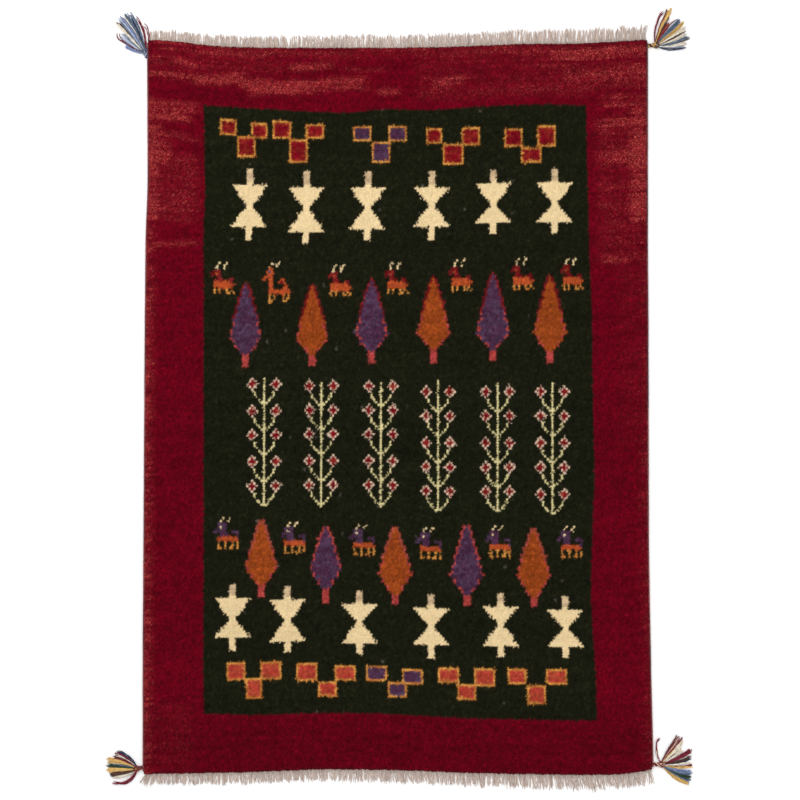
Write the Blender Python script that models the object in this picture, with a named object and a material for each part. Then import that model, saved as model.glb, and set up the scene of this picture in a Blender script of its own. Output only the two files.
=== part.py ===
"""A gabbeh, a small thick knotted wool rug, lying flat on a floor.

Frame: the origin is under the middle of the rug, +X to its right, +Y to its far end, +Z up.
Lengths are in metres and angles in degrees, anticlockwise from +X.
The pile body, the two side cords, the two end bands with their warp ends and the four corner
tassels are pieces of their own. Each is grown from its own outline table.
"""
import math

import bmesh
import bpy
import numpy as np

COLLECTION = "gabbeh_rug"

# Pile body
PILE_TOP = 0.012
RIM_STEPS = ((0.0, 0.0062), (0.0013, 0.0096), (0.0038, 0.0114))
SWELL = 0.0006
SWELL_LENGTH_X = 0.41
SWELL_LENGTH_Y = 0.57
SWELL_START_X = 1.0
SWELL_START_Y = 0.4
CELLS_X = 20
CELLS_Y = 30
HALF_LENGTH = 0.756
EASE = 0.03

# Side cords
CORD_RADIUS = 0.0026
CORD_SWELL = 0.05
CORD_SWELL_LENGTH = 0.13
CLEARANCE = 0.0003

# End bands and their warp ends
BAND_DEPTH = 0.0045
BAND_THICK = 0.003
LOCKS = 114
LOCK_MIDDLE = 0.45
LOCK_MIDDLE_WIDTH = 0.0070
LOCK_TIP_WIDTH = 0.0040
LOCK_MIDDLE_THICK = 0.0027
LOCK_TIP_THICK = 0.0018
LOCK_SPACE = 0.0006
LOCK_BOW = 0.0005
LOCK_LENGTH_DRIFT = 0.12
LOCK_SHORTEST = -0.14
LOCK_LONGEST = 0.10
LOCK_LEAN_DRIFT = 6.0
LOCK_LEAN_LOOSE = 4.0
TUFT_LENGTH = 0.055
TUFT_LEAN = 0.047
FACING = 0.7

# Tassels
HEAD_RADIUS = 0.0042
HEAD_LAYERS = (0.0026, 0.0052, 0.0068)
HEAD_DOME = 0.62
HEAD_COARSE = 50.0
NECK_HALF_TURN = 24.0
YARN_FLARE = 0.065
YARN_WIDTH = 0.0046
YARN_THICK = 0.0024
YARN_OVER = 0.0029
YARN_SWAY = 0.5
NEAR_REACH = 0.014
FALL_START = 0.030
FALL_END = 0.044

# Long sides, cords included: height up the rug, then distance from the middle line
LEFT_SIDE = (
    (-0.721, -0.5314), (-0.502, -0.5314), (-0.211, -0.5294), (0.153, -0.5273),
    (0.371, -0.5252), (0.444, -0.5210), (0.735, -0.5221),
)
RIGHT_SIDE = (
    (-0.721, 0.5335), (-0.648, 0.5314), (-0.575, 0.5294), (-0.357, 0.5252), (-0.284, 0.5242),
    (0.226, 0.5231), (0.298, 0.5221), (0.735, 0.5221),
)

# Ends of the pile: distance across the rug, then height up the rug
NEAR_END = (
    (-0.515, -0.7602), (-0.411, -0.7582), (-0.307, -0.7561), (-0.151, -0.7498), (0.005, -0.7519),
    (0.161, -0.7582), (0.265, -0.7602), (0.421, -0.7623), (0.473, -0.7602), (0.512, -0.7560),
    (0.525, -0.7480),
)
FAR_END = (
    (-0.515, 0.7665), (-0.463, 0.7644), (-0.411, 0.7561), (-0.359, 0.7519), (-0.255, 0.7498),
    (0.005, 0.7498), (0.109, 0.7519), (0.265, 0.7582), (0.369, 0.7582), (0.421, 0.7602),
    (0.473, 0.7644), (0.515, 0.7665),
)

# Warp ends: distance across the rug, length with the band, lean to the right in degrees
NEAR_FRINGE = (
    (-0.53, 0.0300, -42.0), (-0.49, 0.0250, -3.0), (-0.30, 0.0250, 1.0), (0.0, 0.0265, 3.0),
    (0.25, 0.0300, 7.0), (0.40, 0.0335, 12.0), (0.52, 0.0300, 9.0),
)
FAR_FRINGE = (
    (-0.52, 0.0225, 1.0), (-0.30, 0.0255, -2.0), (0.0, 0.0285, 1.0), (0.25, 0.0305, 3.0),
    (0.52, 0.0310, -2.0),
)

# Tassel knots: place, where the neck meets the side cord, and the neck's sections as share of
# the way, width and height
KNOTS = {
    "tassel_top_left": (
        (-0.5268, 0.7436), (-0.5224, 0.7315), ((0.55, 0.0040, 0.0040), (1.0, 0.0042, 0.0042)),
    ),
    "tassel_top_right": (
        (0.5390, 0.7575), (0.5225, 0.7560),
        ((0.38, 0.0105, 0.0082), (0.72, 0.0118, 0.0082), (1.0, 0.0090, 0.0055)),
    ),
    "tassel_bottom_left": (
        (-0.5435, -0.7509), (-0.5318, -0.7478),
        ((0.52, 0.0085, 0.0076), (1.0, 0.0110, 0.0056)),
    ),
    "tassel_bottom_right": (
        (0.5500, -0.7415), (0.5339, -0.7422),
        ((0.40, 0.0125, 0.0078), (0.75, 0.0115, 0.0070), (1.0, 0.0085, 0.0052)),
    ),
}

# Tassel yarns: direction at the knot, direction at the tip, length. Every second one lies over
# its neighbours near the knot
YARNS = {
    "tassel_top_left": (
        (87, 90, 0.064), (92, 98, 0.068), (97, 106, 0.077), (103, 112, 0.085), (109, 117, 0.092),
        (115, 121, 0.093), (121, 126, 0.094), (126, 131, 0.096), (132, 136, 0.089),
        (138, 141, 0.070), (144, 146, 0.062), (150, 151, 0.072), (157, 157, 0.062),
        (164, 163, 0.051),
    ),
    "tassel_top_right": (
        (-7, -8, 0.061), (-1, -2, 0.058), (5, 5, 0.062), (11, 11, 0.074), (17, 18, 0.068),
        (23, 24, 0.071), (29, 31, 0.075), (35, 37, 0.077), (41, 43, 0.068), (47, 49, 0.074),
        (53, 56, 0.068), (60, 62, 0.084), (67, 69, 0.080), (75, 76, 0.071),
    ),
    "tassel_bottom_left": (
        (134, 141, 0.051), (141, 147, 0.056), (148, 153, 0.062), (155, 159, 0.066),
        (163, 165, 0.064), (170, 171, 0.062), (178, 177, 0.064), (185, 183, 0.061),
        (193, 189, 0.062), (200, 195, 0.059), (208, 201, 0.058), (215, 207, 0.055),
        (222, 213, 0.056), (231, 219, 0.059),
    ),
    "tassel_bottom_right": (
        (-40, -36, 0.067), (-33, -30, 0.070), (-26, -24, 0.070), (-19, -18, 0.067),
        (-12, -12, 0.066), (-5, -6, 0.064), (2, 0, 0.065), (9, 7, 0.064), (16, 14, 0.066),
        (24, 21, 0.065), (32, 29, 0.055), (40, 38, 0.058), (52, 54, 0.069), (84, 93, 0.056),
    ),
}

# Colours of the plain solids
PAINTS = {
    "rug_body": (0.16, 0.012, 0.02),
    "selvedge": (0.05, 0.014, 0.02),
    "fringe": (0.62, 0.54, 0.47),
    "tassel_top_left": (0.08, 0.14, 0.24),
    "tassel_top_right": (0.42, 0.23, 0.06),
    "tassel_bottom_left": (0.36, 0.20, 0.07),
    "tassel_bottom_right": (0.05, 0.09, 0.16),
}
PAINT_ROUGHNESS = 0.95


def clear_scene():
    """Take every object out of the starting scene."""
    for thing in list(bpy.data.objects):
        bpy.data.objects.remove(thing, do_unlink=True)


def read_table(table, at, column=1):
    """A table's column at the given first-column values, with its corners eased."""
    rows = np.array(table)
    shifts = (-EASE, -EASE / 2, 0.0, EASE / 2, EASE)
    reads = [np.interp(at + shift, rows[:, 0], rows[:, column]) for shift in shifts]
    return sum(reads) / len(shifts)


def drift(place, wavelength, seed):
    """A slow wander between -1 and 1 along a line, from three sines of unlike lengths."""
    turns = 2 * math.pi * place / wavelength
    return (np.sin(turns + seed) + np.sin(1.7 * turns + 2.1 * seed) * 0.6
            + np.sin(2.9 * turns + 3.3 * seed) * 0.4) / 2


def body_point(across, along):
    """The point of the pile body at shares of its width and length, on the floor plan."""
    guide = (2 * along - 1) * HALF_LENGTH
    inset = 2 * CORD_RADIUS + CLEARANCE
    left = read_table(LEFT_SIDE, guide) + inset
    right = read_table(RIGHT_SIDE, guide) - inset
    x = left + (right - left) * across
    near = read_table(NEAR_END, x)
    far = read_table(FAR_END, x)
    return x, near + (far - near) * along


def rim_lines(cells, span):
    """Shares across a span: the narrow rim lines at both ends and even lines between."""
    rim = [step / span for step, _ in RIM_STEPS]
    middle = list(np.linspace(rim[-1], 1 - rim[-1], cells + 1))[1:-1]
    return rim + middle + [1 - share for share in reversed(rim)]


def end_point(across, along):
    """The point of one end of the body at shares of its width, on its own straight steps."""
    lines = np.array(rim_lines(CELLS_X, 2 * abs(LEFT_SIDE[0][1])))
    x, y = body_point(lines, along)
    return np.interp(across, lines, x), np.interp(across, lines, y)


def rim_height(line, count):
    """Height of a grid line by its place from the nearer end of its row."""
    place = min(line, count - 1 - line)
    return RIM_STEPS[place][1] if place < len(RIM_STEPS) else PILE_TOP


def add_object(name, mesh, home, paint):
    """Put a mesh in the part's collection under a name and a plain wool material."""
    thing = bpy.data.objects.new(name, mesh)
    home.objects.link(thing)
    material = bpy.data.materials.new(name + "_wool")
    material.use_nodes = True
    shader = material.node_tree.nodes["Principled BSDF"]
    shader.inputs["Base Color"].default_value = (*PAINTS[paint], 1.0)
    shader.inputs["Roughness"].default_value = PAINT_ROUGHNESS
    thing.data.materials.append(material)
    return thing


def finish_mesh(bm, name):
    """Turn the working mesh outward and store it."""
    bmesh.ops.recalc_face_normals(bm, faces=bm.faces)
    mesh = bpy.data.meshes.new(name)
    bm.to_mesh(mesh)
    bm.free()
    return mesh


def build_body(home):
    """The shorn pile: a warped grid with a rounded rim, closed down to a flat underside."""
    lines_x = rim_lines(CELLS_X, 2 * abs(LEFT_SIDE[0][1]))
    lines_y = rim_lines(CELLS_Y, 2 * HALF_LENGTH)
    last_x = len(lines_x) - 1
    last_y = len(lines_y) - 1
    bm = bmesh.new()
    bmesh.ops.create_grid(bm, x_segments=last_x, y_segments=last_y, size=0.5)
    for vert in bm.verts:
        column = round((vert.co.x + 0.5) * last_x)
        row = round((vert.co.y + 0.5) * last_y)
        x, y = body_point(lines_x[column], lines_y[row])
        z = min(rim_height(column, last_x + 1), rim_height(row, last_y + 1))
        if z == PILE_TOP:
            z += SWELL * (math.sin(2 * math.pi * x / SWELL_LENGTH_X + SWELL_START_X)
                          * math.sin(2 * math.pi * y / SWELL_LENGTH_Y + SWELL_START_Y))
        vert.co = (x, y, z)
    rim = [edge for edge in bm.edges if edge.is_boundary]
    wall = bmesh.ops.extrude_edge_only(bm, edges=rim)["geom"]
    foot = [item for item in wall if isinstance(item, bmesh.types.BMEdge) and item.is_boundary]
    for item in wall:
        if isinstance(item, bmesh.types.BMVert):
            item.co.z = 0.0
    bmesh.ops.contextual_create(bm, geom=foot)
    add_object("rug_body", finish_mesh(bm, "rug_body"), home, "rug_body")


def build_selvedge(name, side, home):
    """A wrapped side cord: a tube laid on the floor along one long side of the body."""
    outward = 1 if side else -1
    stops = np.array(rim_lines(CELLS_Y, 2 * HALF_LENGTH)[2:-2])
    path_x, path_y = body_point(side, stops)
    path = bpy.data.curves.new(name, "CURVE")
    path.dimensions = "3D"
    path.bevel_depth = CORD_RADIUS
    path.bevel_resolution = 2
    path.use_fill_caps = True
    spline = path.splines.new("POLY")
    spline.points.add(len(stops) - 1)
    for point, x, y in zip(spline.points, path_x, path_y):
        thinner = 1 - CORD_SWELL * (1 + float(drift(y, CORD_SWELL_LENGTH, side + 1.0)))
        point.co = (x + outward * (CLEARANCE + CORD_RADIUS), y, CORD_RADIUS, 1.0)
        point.radius = thinner
    add_object(name, path, home, "selvedge")


def grow(bm, face, stations):
    """Draw a strand out of one face through stations of place, heading, width and heights.

    Each station pulls the face out once and sets its corners square to the heading."""
    for x, y, heading, width, low, high in stations:
        face = bmesh.ops.extrude_discrete_faces(bm, faces=[face])["faces"][0]
        middle = face.calc_center_median()
        side_x = -math.sin(math.radians(heading))
        side_y = math.cos(math.radians(heading))
        for vert in face.verts:
            aside = (vert.co.x - middle.x) * side_x + (vert.co.y - middle.y) * side_y
            reach = math.copysign(width / 2, aside)
            height = high if vert.co.z > middle.z else low
            vert.co = (x + side_x * reach, y + side_y * reach, height)
    return face


def keep_apart(places, least):
    """Move a row of places rightward where the next one would come too near."""
    for place in range(1, len(places)):
        places[place] = max(places[place], places[place - 1] + least)
    return places


def lock_plan(table, end, outward, seed):
    """Places of one end's locks: root, middle and tip points, kept apart from each other."""
    shares = (np.arange(LOCKS) + 0.5) / LOCKS
    root_x, root_y = end_point(shares, end)
    root_y = root_y + outward * (CLEARANCE + BAND_DEPTH)
    rng = np.random.default_rng(seed)
    length = read_table(table, root_x) - BAND_DEPTH
    uneven = LOCK_LENGTH_DRIFT * drift(root_x, TUFT_LENGTH, seed)
    length = length * (1 + uneven + rng.uniform(LOCK_SHORTEST, LOCK_LONGEST, LOCKS))
    lean = read_table(table, root_x, 2) + LOCK_LEAN_DRIFT * drift(root_x, TUFT_LEAN, seed + 0.7)
    lean = np.radians(lean + rng.uniform(-LOCK_LEAN_LOOSE, LOCK_LEAN_LOOSE, LOCKS))
    tip_x = keep_apart(root_x + length * np.sin(lean), LOCK_TIP_WIDTH + LOCK_SPACE)
    tip_y = root_y + outward * length * np.cos(lean)
    bow = rng.uniform(-LOCK_BOW, LOCK_BOW, LOCKS)
    middle_x = root_x + (tip_x - root_x) * LOCK_MIDDLE + bow
    middle_x = keep_apart(middle_x, LOCK_MIDDLE_WIDTH + LOCK_SPACE)
    middle_y = root_y + (tip_y - root_y) * LOCK_MIDDLE
    return root_x, root_y, middle_x, middle_y, tip_x, tip_y


def build_fringe(name, table, outward, seed, home):
    """An end band parted from the pile, each outer face of it drawn out to a lock."""
    along = 1.0 if outward > 0 else 0.0
    bm = bmesh.new()
    bmesh.ops.create_grid(bm, x_segments=LOCKS, y_segments=1, size=0.5)
    for vert in bm.verts:
        x, y = end_point(vert.co.x + 0.5, along)
        depth = CLEARANCE + (vert.co.y + 0.5) * BAND_DEPTH
        vert.co = (x, y + outward * depth, BAND_THICK)
    wall = bmesh.ops.extrude_face_region(bm, geom=bm.faces[:])["geom"]
    for item in wall:
        if isinstance(item, bmesh.types.BMVert):
            item.co.z = 0.0
    plan = lock_plan(table, along, outward, seed)
    bmesh.ops.recalc_face_normals(bm, faces=bm.faces)
    fronts = [face for face in bm.faces if face.normal.y * outward > FACING]
    fronts.sort(key=lambda face: face.calc_center_median().x)
    for face, row in zip(fronts, zip(*plan)):
        root_x, root_y, middle_x, middle_y, tip_x, tip_y = (float(value) for value in row)
        first = math.degrees(math.atan2(middle_y - root_y, middle_x - root_x))
        second = math.degrees(math.atan2(tip_y - middle_y, tip_x - middle_x))
        grow(bm, face, (
            (middle_x, middle_y, (first + second) / 2, LOCK_MIDDLE_WIDTH, 0.0, LOCK_MIDDLE_THICK),
            (tip_x, tip_y, second, LOCK_TIP_WIDTH, 0.0, LOCK_TIP_THICK),
        ))
    add_object(name, finish_mesh(bm, name), home, "fringe")


def head_corners(headings, neck):
    """Corner directions of a knot: a facet for each pair of yarns, then a coarse back.

    The facet that faces the neck is centred on its direction."""
    splits = [(headings[k] + headings[k + 1]) / 2 for k in range(1, len(headings) - 1, 2)]
    first = headings[0] - (headings[1] - headings[0]) / 2
    last = headings[-1] + (headings[-1] - splits[-1]) / 3
    corners = [first] + splits + [last]
    while neck < last:
        neck += 360
    for goal in (neck - NECK_HALF_TURN, neck + NECK_HALF_TURN, first + 360):
        start = corners[-1]
        parts = max(1, math.ceil((goal - start) / HEAD_COARSE))
        if goal == neck + NECK_HALF_TURN:
            parts = 1
        corners += [start + (goal - start) * (part + 1) / parts for part in range(parts)]
    return corners[:-1]


def build_head(bm, place, corners):
    """A knot: a many-sided post in two layers under a drawn-in top."""
    ring = bmesh.ops.create_circle(bm, segments=len(corners), radius=HEAD_RADIUS)["verts"]
    ring.sort(key=lambda vert: math.atan2(vert.co.y, vert.co.x) % (2 * math.pi))
    for vert, degrees in zip(ring, corners):
        bearing = math.radians(degrees)
        vert.co.x = place[0] + HEAD_RADIUS * math.cos(bearing)
        vert.co.y = place[1] + HEAD_RADIUS * math.sin(bearing)
    base = bmesh.ops.contextual_create(bm, geom=bm.edges[:])["faces"][0]
    lifted = bmesh.ops.extrude_face_region(bm, geom=[base])["geom"]
    top = [item for item in lifted if isinstance(item, bmesh.types.BMFace)][0]
    for height, scale in zip(HEAD_LAYERS, (1.0, 1.0, HEAD_DOME)):
        if height != HEAD_LAYERS[0]:
            top = bmesh.ops.extrude_discrete_faces(bm, faces=[top])["faces"][0]
        for vert in top.verts:
            vert.co.x = place[0] + (vert.co.x - place[0]) * scale
            vert.co.y = place[1] + (vert.co.y - place[1]) * scale
            vert.co.z = height
    bmesh.ops.recalc_face_normals(bm, faces=bm.faces)


def side_facets(bm, place):
    """The knot's upright facets by layer, each with its bearing from the knot's middle."""
    facets = {False: [], True: []}
    for face in bm.faces:
        middle = face.calc_center_median()
        if abs(face.normal.z) < 0.2:
            bearing = math.degrees(math.atan2(middle.y - place[1], middle.x - place[0]))
            facets[middle.z > HEAD_LAYERS[0]].append((bearing, face))
    return facets


def take_facet(facets, upper, bearing):
    """Take the facet of one layer that looks nearest to a bearing."""
    row = facets[upper]
    row.sort(key=lambda item: abs((item[0] - bearing + 180) % 360 - 180))
    return row.pop(0)[1]


def yarn_stations(place, near, far, length, over, sway):
    """Stations of one tassel yarn, flat on the floor, or first over its neighbours."""
    reaches = (NEAR_REACH, FALL_START, FALL_END) if over else (NEAR_REACH, FALL_END)
    stations = []
    for reach in (*reaches, length):
        share = reach / length
        degrees = near + (far - near) * share + sway * share * share
        bearing = math.radians(degrees)
        x = place[0] + reach * math.cos(bearing)
        y = place[1] + reach * math.sin(bearing)
        lift = YARN_OVER if over and reach < FALL_END else 0.0
        heading = degrees + (far - near) * share
        width = min(YARN_WIDTH, YARN_FLARE * reach)
        stations.append((x, y, heading, width, lift, lift + YARN_THICK))
    return stations


def build_tassel(name, seed, home):
    """A tassel: a faceted knot, a pair of yarns from each front facet, a neck at its back."""
    place, anchor, sections = KNOTS[name]
    neck = math.degrees(math.atan2(anchor[1] - place[1], anchor[0] - place[0]))
    corners = head_corners([row[0] for row in YARNS[name]], neck)
    bm = bmesh.new()
    build_head(bm, place, corners)
    facets = side_facets(bm, place)
    rng = np.random.default_rng(seed)
    back = take_facet(facets, False, neck)
    for index, (near, far, length) in enumerate(YARNS[name]):
        column = index // 2
        over = index % 2 == 1
        face = take_facet(facets, over, (corners[column] + corners[column + 1]) / 2)
        sway = float(rng.uniform(-YARN_SWAY, YARN_SWAY))
        grow(bm, face, yarn_stations(place, near, far, length, over, sway))
    square = 0.0 if anchor[0] > place[0] else 180.0
    stations = []
    for share, width, height in sections:
        x = place[0] + (anchor[0] - place[0]) * share
        y = place[1] + (anchor[1] - place[1]) * share
        stations.append((x, y, square if share == 1.0 else neck, width, 0.0, height))
    grow(bm, back, stations)
    add_object(name, finish_mesh(bm, name), home, name)


def main():
    """Build every piece of the rug in its collection."""
    clear_scene()
    home = bpy.data.collections.new(COLLECTION)
    bpy.context.scene.collection.children.link(home)
    build_body(home)
    build_selvedge("selvedge_left", 0.0, home)
    build_selvedge("selvedge_right", 1.0, home)
    build_fringe("fringe_top", FAR_FRINGE, 1, 11, home)
    build_fringe("fringe_bottom", NEAR_FRINGE, -1, 12, home)
    for seed, name in enumerate(KNOTS):
        build_tassel(name, 20 + seed, home)


main()
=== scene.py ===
"""Looks of a gabbeh, a small thick knotted wool rug, lying flat on a floor.

The pile is worked out knot by knot: a chart gives each knot its dye, and the pile's surface has a
small tuft of wool for each. Lengths are in metres and angles in degrees, anticlockwise from +X.
"""
import math

import bpy
import numpy as np
from bpy.props import FloatProperty, FloatVectorProperty, IntProperty, PointerProperty
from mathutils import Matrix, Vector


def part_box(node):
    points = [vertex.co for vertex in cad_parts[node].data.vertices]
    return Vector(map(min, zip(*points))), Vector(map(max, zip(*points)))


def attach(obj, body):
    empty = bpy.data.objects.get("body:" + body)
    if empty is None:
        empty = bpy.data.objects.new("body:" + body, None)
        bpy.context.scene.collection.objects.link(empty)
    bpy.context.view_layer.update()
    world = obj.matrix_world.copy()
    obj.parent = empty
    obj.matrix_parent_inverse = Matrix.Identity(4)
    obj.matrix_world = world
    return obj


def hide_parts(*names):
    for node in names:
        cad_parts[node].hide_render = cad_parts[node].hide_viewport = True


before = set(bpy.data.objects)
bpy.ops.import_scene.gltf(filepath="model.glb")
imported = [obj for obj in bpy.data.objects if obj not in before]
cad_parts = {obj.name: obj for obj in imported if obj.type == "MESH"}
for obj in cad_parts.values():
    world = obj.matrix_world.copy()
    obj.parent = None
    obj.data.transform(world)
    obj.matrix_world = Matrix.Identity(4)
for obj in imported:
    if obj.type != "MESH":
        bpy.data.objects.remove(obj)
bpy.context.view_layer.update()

BODY_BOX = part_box("rug_body")

bl_info = {
    "name": "Gabbeh rug",
    "version": (1, 0, 0),
    "blender": (4, 5, 0),
    "location": "3D View > Sidebar > Rug",
    "description": "A knotted wool rug with a chart of dyed knots, side cords, warp fringes and tassels",
    "category": "Add Mesh",
}

# The knotted grid
COLUMNS = 210
ROWS = 270
BLOCKS = (("pile_left", 0, 70), ("pile_middle", 70, 140), ("pile_right", 140, 210))

# Outline, as the solids have it
HALF_LENGTH = 0.756
EASE = 0.03
CORD_RADIUS = 0.0026
CLEARANCE = 0.0003
BAND_DEPTH = 0.0045
BAND_THICK = 0.003
RIM = ((0.0, 0.0062), (0.0013, 0.0096), (0.0038, 0.0114), (0.0080, 0.0120))
SWELL = 0.0006
SWELL_LENGTH = (0.41, 0.57)
SWELL_START = (1.0, 0.4)

# How far the shorn wool leans out over the side cords and the end bands, and over what depth
OVERHANG = 0.0028
END_OVERHANG = 0.0014
LEAN_DEPTH = 0.003

# Weights of red, green and blue in how light a dye looks, and the share that a quad's corners
# take from the tufts round them
LIGHTNESS = np.array((0.25, 0.65, 0.10))
CORNER_BLEND = 0.6

# Long sides, cords included: height up the rug, then distance from the middle line
LEFT_SIDE = (
    (-0.721, -0.5314), (-0.502, -0.5314), (-0.211, -0.5294), (0.153, -0.5273),
    (0.371, -0.5252), (0.444, -0.5210), (0.735, -0.5221),
)
RIGHT_SIDE = (
    (-0.721, 0.5335), (-0.648, 0.5314), (-0.575, 0.5294), (-0.357, 0.5252), (-0.284, 0.5242),
    (0.226, 0.5231), (0.298, 0.5221), (0.735, 0.5221),
)

# Ends of the pile: distance across the rug, then height up the rug
NEAR_END = (
    (-0.515, -0.7602), (-0.411, -0.7582), (-0.307, -0.7561), (-0.151, -0.7498), (0.005, -0.7519),
    (0.161, -0.7582), (0.265, -0.7602), (0.421, -0.7623), (0.473, -0.7602), (0.512, -0.7560),
    (0.525, -0.7480),
)
FAR_END = (
    (-0.515, 0.7665), (-0.463, 0.7644), (-0.411, 0.7561), (-0.359, 0.7519), (-0.255, 0.7498),
    (0.005, 0.7498), (0.109, 0.7519), (0.265, 0.7582), (0.369, 0.7582), (0.421, 0.7602),
    (0.473, 0.7644), (0.515, 0.7665),
)

# Warp ends: distance across the rug, length with the band, lean to the right in degrees
NEAR_FRINGE = (
    (-0.53, 0.0300, -42.0), (-0.49, 0.0250, -3.0), (-0.30, 0.0250, 1.0), (0.0, 0.0265, 3.0),
    (0.25, 0.0300, 7.0), (0.40, 0.0335, 12.0), (0.52, 0.0300, 9.0),
)
FAR_FRINGE = (
    (-0.52, 0.0225, 1.0), (-0.30, 0.0255, -2.0), (0.0, 0.0285, 1.0), (0.25, 0.0305, 3.0),
    (0.52, 0.0310, -2.0),
)

# The field within the border: its first and last columns and rows, and where the knots there lie,
# in knots from the left and from the far end, since the weaver's lines bend
FIELD_COLUMNS = (24, 187)
FIELD_ROWS = (23, 249)
FIELD_BLEND = 8.0
FIELD_LEFT = ((20, 22.9), (70, 23.5), (95, 23.8), (131, 24.0), (206, 24.4), (250, 24.5))
FIELD_RIGHT = (
    (20, 184.6), (41, 185.1), (71, 186.0), (100, 187.1), (130, 187.5), (159, 188.3),
    (174, 187.5), (204, 186.3), (218, 186.9), (233, 187.9), (250, 188.0),
)
FIELD_TOP = (
    (23, 22.0), (36, 22.3), (52, 22.8), (68, 23.9), (84, 24.3), (100, 22.8), (120, 23.4),
    (136, 22.6), (168, 22.2), (186, 22.7),
)
FIELD_BOTTOM = ((23, 248.0), (48, 248.9), (94, 249.0), (131, 249.8), (188, 250.0))

# Squares in threes: column, row, width, height, filling dye
SQUARES = (
    (30, 27, 7, 6, "square_red"), (43, 28, 7, 6, "square_red"), (37, 33, 8, 8, "square_red"),
    (52, 27, 8, 7, "square_red"), (66, 28, 8, 6, "square_red"), (59, 34, 8, 9, "square_red"),
    (86, 29, 8, 6, "purple"), (101, 29, 8, 6, "purple"), (94, 35, 8, 8, "purple"),
    (117, 30, 7, 6, "square_red"), (132, 30, 8, 7, "square_red"), (124, 36, 9, 8, "square_red"),
    (150, 31, 8, 7, "square_red"), (164, 30, 8, 8, "square_red"), (157, 38, 9, 6, "square_red"),
    (34, 229, 8, 7, "rose"), (48, 229, 9, 7, "rose"), (42, 235, 7, 8, "rose"),
    (63, 230, 9, 7, "rose"), (79, 231, 9, 6, "rose"), (72, 237, 8, 6, "rose"),
    (92, 231, 9, 6, "purple"), (107, 232, 9, 6, "purple"), (101, 237, 8, 6, "purple"),
    (122, 231, 9, 6, "rose"), (137, 231, 9, 7, "rose"), (130, 237, 8, 6, "rose"),
    (151, 231, 8, 6, "rose"), (167, 231, 9, 6, "rose"), (159, 237, 8, 7, "rose"),
)

# Hourglass figures: middle column, then the rows of head, shoulders, waist, base and foot
HOURGLASSES = (
    (42, 45, 51, 59, 67, 72), (66, 46, 52, 60, 69, 73), (92, 46, 52, 60, 68, 72),
    (119, 46, 52, 59, 67, 72), (145, 46, 51, 59, 66, 70), (171, 46, 51, 59, 66, 70),
    (36, 200, 205, 213, 220, 225), (59, 201, 206, 214, 222, 226), (89, 203, 208, 215, 223, 227),
    (119, 204, 209, 216, 223, 228), (148, 203, 208, 215, 223, 227), (175, 204, 209, 216, 223, 227),
)

# Cypresses: middle column, rows of tip, widest place, foot of the leaves and of the trunk,
# half width, dye of the leaves, dye of the outline above and below
CYPRESSES = (
    (41, 87, 108, 115, 119, 6.3, "purple", "wine"), (69, 88, 109, 115, 119, 6.3, "orange", "wine"),
    (94, 86, 107, 114, 118, 6.5, "purple", "wine"), (120, 85, 107, 113, 118, 6.5, "orange", "wine"),
    (145, 84, 107, 113, 117, 6.5, "purple", "wine"), (169, 85, 107, 114, 118, 6.5, "orange", "wine"),
    (48, 176, 194, 201, 205, 6.3, "orange", "rust"), (75, 179, 195, 203, 208, 6.3, "purple", "coral"),
    (104, 179, 197, 205, 208, 6.5, "orange", "rust"), (134, 178, 197, 204, 208, 6.5, "purple", "coral"),
    (162, 179, 197, 205, 208, 6.5, "orange", "rust"),
)
CYPRESS_WIDTHS = (
    (0.0, 0.04), (0.12, 0.22), (0.30, 0.44), (0.60, 0.72), (0.85, 0.88), (1.0, 1.06),
)

# Flowering stems: column, top row, first flower's row, row of the foot
STEMS = (
    (49, 123, 125.4, 171), (73, 125, 125.7, 172), (98, 125, 125.7, 172),
    (122, 124, 127.8, 172), (147, 125, 127.8, 173), (170, 125, 127.9, 174),
)
BRANCHES = 5
BRANCH_STEP = 9.4
FLOWER_REACH = 5.4

# Small charts. One letter is one knot, and a full stop leaves the field's green
LETTERS = {
    "i": "ivory", "f": "petal", "r": "wine", "o": "orange_red", "y": "gold", "p": "purple", "b": "navy",
    "e": "orange_red", "k": "square_red",
}
FLOWER = ("..f..", ".fkf.", "fkkkf", ".fkf.", "..f..")
GOATS = {
    "grazing": (
        "...i..i...", "..i..i....", "..i..i....", ".rrr......", "rrer......", "r.rr......",
        "..rrr..rr.", ".ooooooor.", ".ooooooooo", ".oooooooo.", ".y.y..y.y.", ".y.y..yy.y",
    ),
    "standing": (
        "....i..i.....", "...i..i......", "...oo........", "..obo........", "..ooo........",
        ".oooo........", "oo.oo...oo...", "...oo..oko...", "...oo.....o..", "...oo....oo..",
        "...ooooooooo.", "...ooooooooo.", "...y.y...y.y.", "...y.y...y.y.", "...yy....yy..",
    ),
    "purple_headed": (
        "....i..i...", "...i..i....", "..pppp.....", "..pipp.....", ".ppppp.....", "pp.ppp..ppp",
        "...ppp....p", "..oooooooop", "..ooooooooo", "..y..y..y.y", "..y..y..y.y", "..yy.y.yy.y",
    ),
}
# Where the goats stand: first column, first row, chart
HERD = (
    (27, 80, "grazing"), (48, 80, "standing"), (76, 81, "grazing"), (100, 80, "grazing"),
    (127, 79, "grazing"), (153, 79, "grazing"), (174, 79, "grazing"),
    (28, 175, "purple_headed"), (56, 177, "purple_headed"), (85, 178, "purple_headed"),
    (113, 179, "purple_headed"), (142, 178, "purple_headed"), (172, 178, "purple_headed"),
)

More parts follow.
